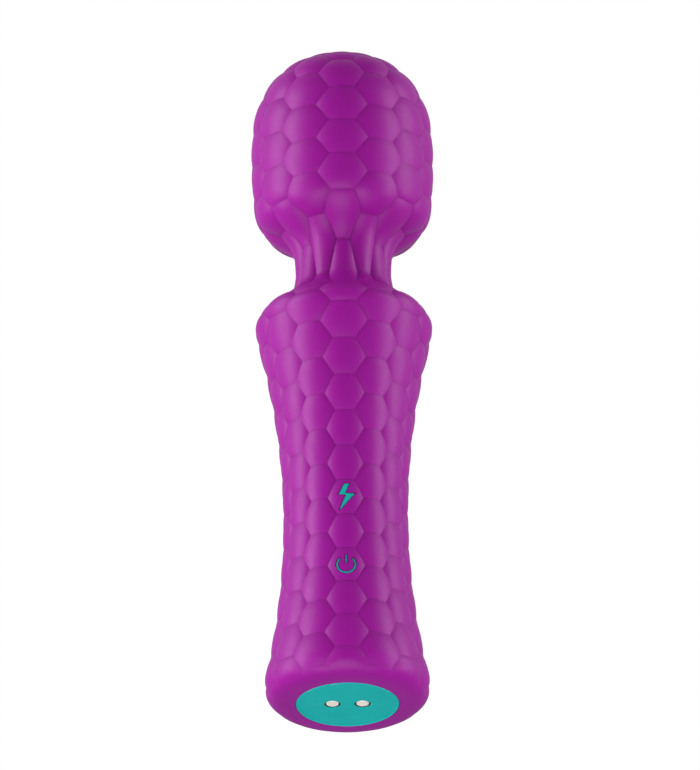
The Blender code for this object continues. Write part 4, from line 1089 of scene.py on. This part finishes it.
    def finished(self, name: str) -> Object:
        """Makes the piece.

        Args:
            name: Its name.

        Returns:
            The object, with its closeness to the creases kept as an attribute.
        """
        turn, row = np.array(self.turns), np.array(self.rows)
        outer = np.array([layer is Layer.OUTER for layer in self.layers])
        inset = np.where(outer, self.lattice.depth(turn, row), SKIN_THICKNESS)
        points = self.lattice.points(turn, row, inset)
        for inner, over in self.drops.items():
            across, height = points[over][0], points[over][1]
            radius = math.hypot(points[inner][0], points[inner][2] - AXIS_Z)
            points[inner] = (across, height, AXIS_Z + math.sqrt(radius * radius - across * across))
        made = piece(name, ([tuple(point) for point in points], self.faces))
        mark_creases(made, np.where(outer, self.lattice.crease(turn, row), 0.0))
        return made

    def _ring(self, row: float, layer: Layer) -> list[int]:
        """Lists the vertices at a row in order round the wand.

        Args:
            row: Where along the wand.
            layer: Which face of the skin.

        Returns:
            The vertices' numbers.
        """
        found = [number for number, (at, side) in enumerate(zip(self.rows, self.layers))
                 if abs(at - row) < 1.0 / self.WELDS_PER_UNIT and side is layer]
        return sorted(found, key=lambda number: self.turns[number] % self.lattice.TURNS)

    def _fan(self, ring: Sequence[int], centre: int, layer: Layer) -> None:
        """Closes a ring with triangles round a vertex in its middle."""
        for one, two in around(ring):
            self.face((one, two, centre), layer)

    def _window(self, outline: Sequence[Point2]) -> None:
        """Lines an opening through the skin with straight walls.

        Args:
            outline: Places round it.
        """
        outer = [self.vertex(turn, row, Layer.OUTER) for turn, row in outline]
        inner = [self.vertex(turn, row, Layer.INNER) for turn, row in outline]
        self.faces += quads(outer, inner)
        self.drops.update(zip(inner, outer))


def mark_creases(target: Object, closeness: np.ndarray) -> None:
    """Keeps how close to a crease each vertex is, from 0 to 1, for the silicone's painted crease shade and
    dullness.
    """
    kept = target.data.attributes.new("crease", "FLOAT", "POINT")
    kept.data.foreach_set("value", closeness.astype(np.float32))


# Sub-assemblies

@dataclass
class Skin:
    """Silicone skin over handle, neck and head, in two pieces that meet at the middle of the neck."""

    lattice: ScaleLattice
    button_rows: tuple[float, ...] = (2.0, 4.0)
    base_cut: float = -0.75
    crown_cut: float = 18.25
    rim_bands: int = 10
    crown_bands: int = 12

    def build(self) -> list[Object]:
        """Builds both pieces and hangs them on the bodies on either side of each neck joint.

        Returns:
            The handle's skin and the head's.
        """
        seam = float(self.lattice.rows_at(SEAM_AT))
        handle = ScaledMesh(self.lattice)
        handle.scales(self.base_cut, seam, [(0, row) for row in self.button_rows])
        for layer in Layer:
            handle.bands(self.base_cut, self.lattice.first, self.rim_bands, layer)
        handle.rim(self.lattice.first, upper=False)
        handle.rim(seam, upper=True)
        head = ScaledMesh(self.lattice)
        head.scales(seam, self.crown_cut)
        last = self.lattice.last - (self.lattice.last - self.crown_cut) / (self.crown_bands + 1)
        for layer in Layer:
            head.bands(self.crown_cut, last, self.crown_bands, layer)
            head.crown(last, layer)
        head.rim(seam, upper=False)
        lower, upper = handle.finished("skin_handle"), head.finished("skin_head")
        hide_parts("handle_sleeve")
        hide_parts("head_sleeve", "neck_sleeve")
        bend_with_neck(lower, upper)
        return [lower, upper]

    def dress(self, pieces: Sequence[Object], paints: Paintbox) -> None:
        """Gives the skin its silicone."""
        paints.dress(pieces, ("purple_silicone",) * 2)


class Symbol(Enum):
    """What is drawn on a button."""

    BOLT = "bolt"
    POWER = "power"


@dataclass
class Button:
    """One scale that presses in, with a teal symbol inlaid in its crown.

    The gap is the share of the scale that is left free round the pad. The bolt's corners are shares of its
    width and height, the bar's top is in half strokes over the ring, and its foot and the symbol's drop are
    shares of the ring's radius.
    """

    lattice: ScaleLattice
    name: str
    row: float
    symbol: Symbol
    gap: float = 0.009
    wall: float = 0.0018
    pocket: float = 0.0008
    pocket_rise: float = 0.001
    floor_gap: float = 0.0001
    sunk: float = 0.0002
    symbol_gap: float = 0.0002
    bolt_width: float = 0.00485
    bolt_height: float = 0.0074
    bolt_shift: float = 0.00033
    bolt: tuple[Point2, ...] = ((-0.17, 0.5), (-0.5, 0.044), (-0.11, 0.03), (-0.44, -0.5), (-0.31, -0.5),
                                (0.5, 0.12), (-0.03, 0.135), (0.2, 0.5))
    ring_radius: float = 0.0023
    ring_points: int = 41
    stroke: float = 0.00078
    opening: float = math.radians(40.0)
    bar_top: float = 1.6
    bar_foot: float = 0.1
    drop: float = 0.1
    grid_step: float = 0.0004
    grid_half: Point2 = (0.0036, 0.0044)
    edge_clearance: float = 0.00022
    weld: float = 1e-8
    mitre_limit: float = 0.35

    def build(self) -> list[Object]:
        """Builds the pad with its pocket, and the inlay.

        Returns:
            The pad, then each part of its symbol.
        """
        pad = self._pad()
        made = [pad]
        for part, outline in self._outlines().items():
            cut_away(pad, self._block(self.name + "_pocket", outline, (-self.pocket, self.pocket_rise), 0.0))
            made.append(self._block(f"{self.name}_{part}", outline,
                                    (self.floor_gap - self.pocket, -self.sunk), self.symbol_gap))
        self._mark(pad)
        node = self.name + "_symbol"
        names = [node] if self.symbol is Symbol.BOLT else [node + "_ring", node + "_bar"]
        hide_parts(self.name + "_pad")
        for target, cad_node in zip(made[1:], names):
            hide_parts(cad_node)
        for target in made:
            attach(target, self.name + "_button")
        return made

    def dress(self, pieces: Sequence[Object], paints: Paintbox) -> None:
        """Gives the pad its silicone and the symbol its teal."""
        paints.dress(pieces, ("purple_silicone", "teal_ink", "teal_ink"))

    @property
    def middle(self) -> float:
        """The height of the button's middle."""
        return float(self.lattice.middle(self.row)[1] - BASE_Y)

    def _pad(self) -> Object:
        """Builds the domed pad as a closed body with straight sides.

        Returns:
            The pad.
        """
        mesh = ScaledMesh(self.lattice)
        middle, size = self.row + 0.5, 1.0 - self.gap
        outline = [(size * turn, middle + size * (row - self.row - 0.5))
                   for turn, row in mesh.outline(0, self.row)]
        rim = mesh.scale(outline, ScaledMesh.OUTER_SHARES, Layer.OUTER)
        turn, row = np.array(mesh.turns), np.array(mesh.rows)
        depth = self.lattice.depth(turn, row)
        points = [tuple(point) for point in self.lattice.points(turn, row, depth)]
        foot = [len(points) + number for number in range(len(rim))]
        for number in rim:
            across, along_y, up = points[number]
            radius = math.hypot(across, up - AXIS_Z) + float(depth[number]) - self.wall
            points.append((across, along_y, AXIS_Z + math.sqrt(radius * radius - across * across)))
        sides = [(two, one, three, four) for one, two, four, three in quads(rim, foot)]
        bottom = [(two, one, len(points)) for one, two in around(foot)]
        points.append(tuple(self.lattice.middle(self.row, self.wall)))
        return piece(self.name + "_cap", (points, mesh.faces + sides + bottom))

    def _outlines(self) -> dict[str, list[Point2]]:
        """Draws the symbol flat.

        Returns:
            Across and height of the points round each part, counter-clockwise, by the part's name.
        """
        if self.symbol is Symbol.BOLT:
            middle = self.middle
            return {"bolt": [(self.bolt_shift + across * self.bolt_width, middle + up * self.bolt_height)
                             for across, up in self.bolt]}
        half = 0.5 * self.stroke
        sweep = np.linspace(0.5 * math.pi + self.opening, 2.5 * math.pi - self.opening, self.ring_points)
        sides = ((self.ring_radius + half, sweep), (self.ring_radius - half, sweep[::-1]))
        ring = [(radius * math.cos(angle), radius * math.sin(angle))
                for radius, angles in sides for angle in angles]
        top, bottom = self.ring_radius + self.bar_top * half, self.bar_foot * self.ring_radius
        bar = [(-half, bottom), (half, bottom), (half, top), (-half, top)]
        shift = self.middle - self.drop * self.ring_radius
        return {part: [(across, up + shift) for across, up in points]
                for part, points in (("ring", ring), ("bar", bar))}

    def _block(self, name: str, outline: Sequence[Point2], levels: Point2, shrink: float) -> Object:
        """Builds a block in the shape of a symbol, whose ends follow the pad's crown.

        Args:
            name: The block's name.
            outline: Points round the symbol.
            levels: Where its lower and its upper face are against the crown.
            shrink: How far its sides stand inside the outline.

        Returns:
            The closed block.
        """
        edges: list[Vector] = []
        for one, two in around(self._shrunk(outline, shrink)):
            count = max(1, round((two - one).length / self.grid_step))
            edges += [one.lerp(two, step / count) for step in range(count)]
        half_across, half_along = self.grid_half
        grid = [Vector((across, height)) for across in self._spaced(0.0, half_across)
                for height in self._spaced(self.middle, half_along)]
        inside = [point for point in grid if self._well_inside(point, edges)]
        loops = [list(range(len(edges)))]
        flat, _, triangles, *_ = geometry.delaunay_2d_cdt(
            edges + inside, [], loops, INSIDE_TRIANGLES, self.weld)
        across, height = np.array([point.to_tuple() for point in flat]).T
        crown = self.lattice.top_over(across, height)
        count = len(flat)
        points = [place(across[i], height[i], crown[i] + level) for level in reversed(levels)
                  for i in range(count)]
        faces = [tuple(corners) for corners in triangles]
        used = dict.fromkeys(pair for corners in faces for pair in around(corners))
        sides = [(two, one, one + count, two + count) for one, two in used if (two, one) not in used]
        below = [tuple(number + count for number in reversed(corners)) for corners in triangles]
        return piece(name, (points, faces + below + sides), CUT_ANGLE)

    def _spaced(self, middle: float, half: float) -> np.ndarray:
        """Returns places a grid's step apart, as far as a half width on both sides of a middle."""
        # A quarter step more keeps the last place in spite of rounding
        return np.arange(middle - half, middle + half + 0.25 * self.grid_step, self.grid_step)

    def _shrunk(self, outline: Sequence[Point2], amount: float) -> list[Vector]:
        """Moves the sides of an outline inwards.

        Args:
            outline: Points round it, counter-clockwise.
            amount: How far each side moves.

        Returns:
            The new corners.
        """
        corners = [Vector(point) for point in outline]
        made = []
        for number, corner in enumerate(corners):
            before, after = corners[number - 1], corners[(number + 1) % len(corners)]
            first, second = (corner - before).normalized(), (after - corner).normalized()
            normal = Vector((-first.y - second.y, first.x + second.x))
            made.append(corner + normal * (amount / max(self.mitre_limit, 0.5 * normal.length_squared)))
        return made

    def _well_inside(self, point: Vector, edges: Sequence[Vector]) -> bool:
        """Tells whether a point is inside an outline and not close to it.

        Args:
            point: The point.
            edges: Points round the outline.

        Returns:
            True where the point may be a vertex of its own.
        """
        if min((point - edge).length for edge in edges) < self.edge_clearance:
            return False
        crossings = 0
        for one, two in around(edges):
            if (one.y > point.y) != (two.y > point.y):
                at = one.x + (point.y - one.y) / (two.y - one.y) * (two.x - one.x)
                crossings += at > point.x
        return crossings % 2 == 1

    def _mark(self, pad: Object) -> None:
        """Keeps how close the pad's vertices are to the crease round it, for its painted crease shade and
        dullness.

        Args:
            pad: The pad, after its pocket is cut.
        """
        points = np.array([vertex.co for vertex in pad.data.vertices])
        turn = np.arctan2(points[:, 0], points[:, 2] - AXIS_Z) * self.lattice.TURNS / FULL_TURN
        mark_creases(pad, self.lattice.crease(turn, self.lattice.rows_at(points[:, 1] - BASE_Y)))


@dataclass
class ChargeBase:
    """Teal plate in the base with two recessed charging contacts.

    The seat is how far a contact's flange lies behind its face, and the dish gives how deep that face is at
    its middle and half way out.
    """

    plate_radius: float = 0.01285
    plate_thickness: float = 0.0024
    plate_steps: int = 128
    spigot_radius: float = 0.0104
    spigot_wall: float = 0.0014
    spigot_to: float = 0.0062
    edge: float = 0.00015
    back_edge: float = 0.0002
    bead_width: float = 0.00045
    bead_height: float = 0.0002
    bead_points: int = 9
    pitch: float = 0.0075
    hole: float = 0.00205
    hole_edge: float = 0.0002
    hole_to: float = 0.004
    overcut: float = 0.001
    sleeve: float = 0.0001
    sleeve_gap: float = 0.00001
    contact_radius: float = 0.00163
    contact_face: float = 0.00012
    contact_edge: float = 0.0003
    contact_steps: int = 48
    dish: Point2 = (0.00008, 0.00006)
    seat: float = 0.0012
    seat_gap: float = 0.0001
    flange_radius: float = 0.0026
    flange: float = 0.0006
    tail_radius: float = 0.0008
    tail_to: float = 0.0065

    def build(self) -> list[Object]:
        """Builds the plate, the contacts and the sleeves round them.

        Returns:
            The plate, then each contact with its sleeve.
        """
        plate = piece("base_plate", turned(self._plate_profile(), self.plate_steps), CUT_ANGLE)
        sides = {"left": -0.5 * self.pitch, "right": 0.5 * self.pitch}
        for across in sides.values():
            cut_away(plate, piece("hole_cutter", self._round(self._hole_profile(), across), CUT_ANGLE))
        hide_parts("charge_plate")
        made = [plate]
        for name, across in sides.items():
            contact = piece("contact_" + name, self._round(self._contact_profile(), across), TURNED_ANGLE)
            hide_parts("charge_contact_" + name)
            # Painted shade: the black sleeve, partly a real insulator, darkens the hole's wall where shade
            # falls
            sleeve = piece("sleeve_" + name, self._round(self._sleeve_profile(), across), TURNED_ANGLE)
            made += [contact, sleeve]
        for target in made:
            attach(target, "handle")
        return made

    def dress(self, pieces: Sequence[Object], paints: Paintbox) -> None:
        """Gives the plate its teal, the contacts their nickel and the sleeves their rubber, whose black is
        partly painted shade in the holes.
        """
        paints.dress(pieces, ("teal_plastic",) + ("nickel", "black_rubber") * 2)

    def _round(self, profile: Sequence[Point2], across: float) -> Mesh:
        """Turns a profile about the middle of a contact."""
        return turned(profile, self.contact_steps, across)

    def _plate_profile(self) -> list[Point2]:
        """Draws the plate's half section, from the middle of its face outwards.

        Returns:
            Radius and height of each point.
        """
        outer = (self.plate_radius, 0.0)
        back = (self.plate_radius, self.plate_thickness)
        wall = self.spigot_radius - self.spigot_wall
        inner = self.plate_radius - self.bead_width - self.edge
        bead = [(inner + 0.5 * self.bead_width * (1.0 - math.cos(turn)), -self.bead_height * math.sin(turn))
                for turn in np.linspace(0.0, math.pi, self.bead_points)]
        return [(0.0, 0.0), (0.5 * inner, 0.0), *bead, *rounded(outer, bead[-1], back, self.edge),
                *rounded(back, outer, (0.0, back[1]), self.back_edge),
                (self.spigot_radius, self.plate_thickness), (self.spigot_radius, self.spigot_to),
                (wall, self.spigot_to), (wall, self.plate_thickness), (0.0, self.plate_thickness)]

    def _hole_profile(self) -> list[Point2]:
        """Draws half of what a contact's hole takes out of the plate.

        Returns:
            Radius and height of each point.
        """
        face = (self.hole + self.overcut, 0.0)
        flare = rounded((self.hole, 0.0), face, (self.hole, self.hole_to), self.hole_edge)
        seat_at = self.contact_face + self.seat - self.seat_gap
        seat_radius = self.flange_radius + self.seat_gap
        return [(0.0, -self.overcut), (flare[0][0], -self.overcut), *flare, (self.hole, seat_at),
                (seat_radius, seat_at), (seat_radius, self.hole_to), (0.0, self.hole_to)]

    def _sleeve_profile(self) -> list[Point2]:
        """Draws half of the thin black sleeve that lines a contact's hole, an insulator that is also painted
        shade on the hole's wall.

        Returns:
            Radius and height of each point.
        """
        outer = self.hole - self.sleeve_gap
        inner = outer - self.sleeve
        start, stop = self.hole_edge, self.contact_face + self.seat - 2.0 * self.seat_gap
        return [(inner, start), (outer, start), (outer, stop), (inner, stop)]

    def _contact_profile(self) -> list[Point2]:
        """Draws a contact's half section, with a shallow dish in its face.

        Returns:
            Radius and height of each point.
        """
        face, rim = self.contact_face, self.contact_radius
        seat_at = face + self.seat
        back = seat_at + self.flange
        corner = rounded((rim, face), (0.0, face), (rim, seat_at), self.contact_edge)
        return [(0.0, face + self.dish[0]), (0.5 * rim, face + self.dish[1]), *corner, (rim, seat_at),
                (self.flange_radius, seat_at), (self.flange_radius, back), (self.tail_radius, back),
                (self.tail_radius, self.tail_to), (0.0, self.tail_to)]


@dataclass
class NeckInsides:
    """Rubber core and motor leads inside the neck, each in two halves that bend with it."""

    core_radius: float = 0.0098
    core_bore: float = 0.0045
    core_points: int = 49
    core_steps: int = 56
    bore_every: int = 4
    flange_radius: float = 0.0128
    lower_flange: Point2 = (0.1012, 0.1042)
    upper_flange: Point2 = (0.1342, 0.1372)
    groove: float = 0.0007
    groove_pitch: float = 0.0030
    lead_radius: float = 0.0006
    lead_across: float = 0.00225
    lead_from: float = 0.0992
    lead_to: float = 0.1391
    lead_points: tuple[int, int] = (22, 24)
    terminal_across: float = 0.0040
    spread_from: float = 0.1369
    spread_over: float = 0.0012

    def build(self) -> list[Object]:
        """Builds the core's halves and the leads' halves.

        Returns:
            The two halves of the core, then those of each lead.
        """
        halves = [piece("core_lower", self._core(*self.lower_flange)),
                  piece("core_upper", self._core(*self.upper_flange))]
        for target in halves:
            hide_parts("neck_core")
        for side, name in ((-1.0, "positive"), (1.0, "negative")):
            for end, mesh in zip(("lower", "upper"), self._lead(side)):
                lead = piece(f"lead_{name}_{end}", mesh)
                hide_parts("motor_lead_upper_" + name)
                halves.append(lead)
        for lower, upper in zip(halves[::2], halves[1::2]):
            bend_with_neck(lower, upper)
        return halves

    def dress(self, pieces: Sequence[Object], paints: Paintbox) -> None:
        """Gives the core its rubber and the leads their insulation."""
        paints.dress(pieces, ("black_rubber",) * 2 + ("red_wire",) * 2 + ("black_wire",) * 2)

    def _core(self, flange_from: float, flange_to: float) -> Mesh:
        """Builds half of the core, with grooves that let it bend.

        Args:
            flange_from: Where its flange starts.
            flange_to: Where its flange ends.

        Returns:
            The closed mesh.
        """
        below = flange_to < SEAM_AT
        start, stop = (flange_to, SEAM_AT) if below else (SEAM_AT, flange_from)
        heights = np.linspace(start, stop, self.core_points)
        wave = 0.5 - 0.5 * np.cos(FULL_TURN * (heights - SEAM_AT) / self.groove_pitch)
        near = np.minimum(np.abs(heights - start), np.abs(heights - stop)) / self.groove_pitch
        radii = self.core_radius - self.groove * wave * np.clip(2.0 * near, 0.0, 1.0)
        side = list(zip(radii.tolist(), heights.tolist()))
        bore = [(self.core_bore, height) for height in heights[::-self.bore_every].tolist()]
        flange = [(self.flange_radius, flange_from), (self.flange_radius, flange_to)]
        if below:
            return turned(flange + side + bore + [(self.core_bore, flange_from)], self.core_steps)
        return turned(side + flange + [(self.core_bore, flange_to)] + bore, self.core_steps)

    def _lead(self, side: float) -> tuple[Mesh, Mesh]:
        """Builds the two halves of one lead.

        Args:
            side: -1 for the left one, 1 for the right one.

        Returns:
            The lower and the upper half.
        """
        low = np.linspace(self.lead_from, SEAM_AT, self.lead_points[0])
        high = np.linspace(SEAM_AT, self.lead_to, self.lead_points[1])
        spread = smoothstep((high - self.spread_from) / self.spread_over)
        wide = self.lead_across + (self.terminal_across - self.lead_across) * spread
        lower = [place(side * self.lead_across, height, 0.0) for height in low]
        upper = [place(side * across, height, 0.0) for across, height in zip(wide, high)]
        return tube(lower, self.lead_radius), tube(upper, self.lead_radius)


class Insides:
    """Every CAD node that stays as it is, under the skin."""

    def dress(self, paints: Paintbox) -> int:
        """Gives each node the finish of its slot in the record.

        Args:
            paints: The finishes.

        Returns:
            How many nodes are still shown.
        """
        shown = 0
        for row in frame["record"]["subparts"]:
            node = frame["nodes"][row["node"]]
            paints.coat_node(node, row["material_slot"])
            shown += not node.hide_render
        return shown


@dataclass
class Studio:
    """Camera, soft side lights, pale floor and dim surroundings.

    The camera's focal length and centre are in pixels of the image. The floor glows for the rays that see it
    directly. To mirrored rays it glows less, and least in front of the wand's base: painted shade that stands
    for the wand's shadow on the floor in its reflections.
    """

    target: Point3 = (0.0, 0.0, AXIS_Z)
    distance: float = 5.0
    elevation: float = math.radians(64.3)
    roll: float = math.radians(-0.573)
    focal_pixels: float = 19962.0
    centre: Point2 = (344.45, 381.87)
    sensor_width: float = 36.0
    clip: Point2 = (0.05, 20.0)
    light_distance: float = 0.9
    side_angle: float = math.radians(74.0)
    side_lean: float = math.radians(72.0)
    side_size: Point2 = (0.5, 1.26)
    side_power: Point2 = (12.4, 9.8)
    fill_elevation: float = math.radians(36.0)
    fill_turn: float = math.radians(-10.0)
    fill_size: Point2 = (0.8, 0.8)
    fill_power: float = 6.4
    floor_size: float = 4.0
    floor_cells: int = 8
    floor_colour: Colour = (0.3, 0.3, 0.3)
    floor_roughness: float = 0.9
    floor_specular: float = 0.1
    glow: float = 1.035
    glow_share: float = 0.96
    mirror_shade_y: Point2 = (-0.094, -0.07)
    mirror_shade_share: Point2 = (0.05, 0.4)
    white: Colour = (1.0, 1.0, 1.0)
    world_strength: float = 0.2

    def build(self) -> None:
        """Sets the camera, the lights, the floor and the world."""
        bpy.context.scene.view_settings.view_transform = "Standard"
        self._camera()
        self._lights()
        self._floor()
        self._world()

    def _camera(self) -> None:
        """Sets the camera at the photograph's viewing angle."""
        data = bpy.data.cameras.new("camera")
        data.sensor_fit = "AUTO"
        data.sensor_width = self.sensor_width
        data.lens = self.focal_pixels * self.sensor_width / IMAGE_HEIGHT
        data.clip_start, data.clip_end = self.clip
        camera = linked("camera", data)
        tilt = Matrix.Rotation(0.5 * math.pi - self.elevation, 3, "X") @ Matrix.Rotation(self.roll, 3, "Z")
        pixel = self.distance / self.focal_pixels
        across, up = 0.5 * IMAGE_WIDTH - self.centre[0], self.centre[1] - 0.5 * IMAGE_HEIGHT
        aim = Vector(self.target) + tilt @ Vector((across * pixel, up * pixel, 0.0))
        eye = aim + tilt @ Vector((0.0, 0.0, self.distance))
        camera.matrix_world = Matrix.Translation(eye) @ tilt.to_4x4()
        bpy.context.scene.camera = camera

    def _lights(self) -> None:
        """Sets a long soft light low on each side, leaning towards the head, and a broad one in front."""
        sight = self._level(self.elevation + self.side_lean)
        for name, side, power in zip(("left", "right"), (-1.0, 1.0), self.side_power):
            way = math.cos(self.side_angle) * sight + Vector((side * math.sin(self.side_angle), 0.0, 0.0))
            self._area("side_light_" + name, way, self.side_size, power)
        front = Matrix.Rotation(self.fill_turn, 3, "Z") @ self._level(self.fill_elevation)
        self._area("front_light", front, self.fill_size, self.fill_power)

    @staticmethod
    def _level(elevation: float) -> Vector:
        """Returns the way from the wand to the front at an elevation."""
        return Vector((0.0, -math.cos(elevation), math.sin(elevation)))

    def _area(self, name: str, way: Vector, size: Point2, power: float) -> None:
        """Adds one soft light that faces the wand, with its length along it.

        Args:
            name: The light's name.
            way: The way to it from the wand.
            size: Its width and length.
            power: Its power in watts.
        """
        data = bpy.data.lights.new(name, "AREA")
        data.shape = "RECTANGLE"
        data.size, data.size_y = size
        data.energy = power
        across = Vector((0.0, 1.0, 0.0)).cross(way).normalized()
        turn = Matrix((across, way.cross(across), way)).transposed()
        where = Vector(self.target) + self.light_distance * way
        linked(name, data).matrix_world = Matrix.Translation(where) @ turn.to_4x4()

    def _floor(self) -> None:
        """Lays a pale floor that is white to the camera apart from the wand's shadow."""
        line = np.linspace(-0.5 * self.floor_size, 0.5 * self.floor_size, self.floor_cells + 1)
        points = [(float(x), float(y), 0.0) for y in line for x in line]
        cells = range(self.floor_cells)
        starts = [row * len(line) + step for row in cells for step in cells]
        faces = [(start, start + 1, start + len(line) + 1, start + len(line)) for start in starts]
        floor = piece("floor", (points, faces))
        made, wiring, shader = new_material("pale_floor")
        wiring.feed(shader, {"Base Color": rgba(self.floor_colour), "Roughness": self.floor_roughness,
                             "Specular IOR Level": self.floor_specular})
        glow = wiring.node("ShaderNodeEmission", {"Color": rgba(self.white), "Strength": self.glow})
        seen = wiring.node("ShaderNodeLightPath").outputs
        # Painted shade: to mirrored rays the floor's glow dims towards the front of the wand's base, standing
        # for the wand's shadow there
        where = wiring.node("ShaderNodeNewGeometry").outputs["Position"]
        behind = wiring.node("ShaderNodeSeparateXYZ", {"Vector": where}).outputs["Y"]
        clear = wiring.spread(behind, self.mirror_shade_y, self.mirror_shade_share)
        mirrored = wiring.math("MULTIPLY", seen["Is Glossy Ray"], clear)
        direct = wiring.math("MAXIMUM", seen["Is Camera Ray"], mirrored)
        direct = wiring.math("MAXIMUM", direct, seen["Is Transmission Ray"])
        share = wiring.math("MULTIPLY", direct, self.glow_share)
        mixed = wiring.node("ShaderNodeMixShader", {0: share, 1: shader.outputs[0], 2: glow.outputs[0]})
        wiring.feed(made.node_tree.nodes["Material Output"], {"Surface": mixed.outputs[0]})
        floor.data.materials.append(made)

    def _world(self) -> None:
        """Makes the surroundings dim."""
        world = bpy.data.worlds.new("surroundings")
        bpy.context.scene.world = world
        world.use_nodes = True
        back = world.node_tree.nodes["Background"]
        Wiring(world.node_tree).feed(back, {"Color": rgba(self.white), "Strength": self.world_strength})


def main() -> None:
    """Builds the studio and every sub-assembly, and logs how many CAD nodes are still shown."""
    logging.basicConfig(level=logging.INFO, format="%(name)s: %(message)s")
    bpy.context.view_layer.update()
    Studio().build()
    paints = Paintbox()
    lattice = ScaleLattice(Meridian(WandOutline()))
    power_row, boost_row = Skin.button_rows
    assemblies = (
        Skin(lattice),
        Button(lattice, "power", power_row, Symbol.POWER),
        Button(lattice, "boost", boost_row, Symbol.BOLT),
        ChargeBase(),
        NeckInsides(),
    )
    for assembly in assemblies:
        pieces = assembly.build()
        assembly.dress(pieces, paints)
    LOG.info("insides: %d nodes dressed", Insides().dress(paints))


if __name__ == "__main__":
    main()
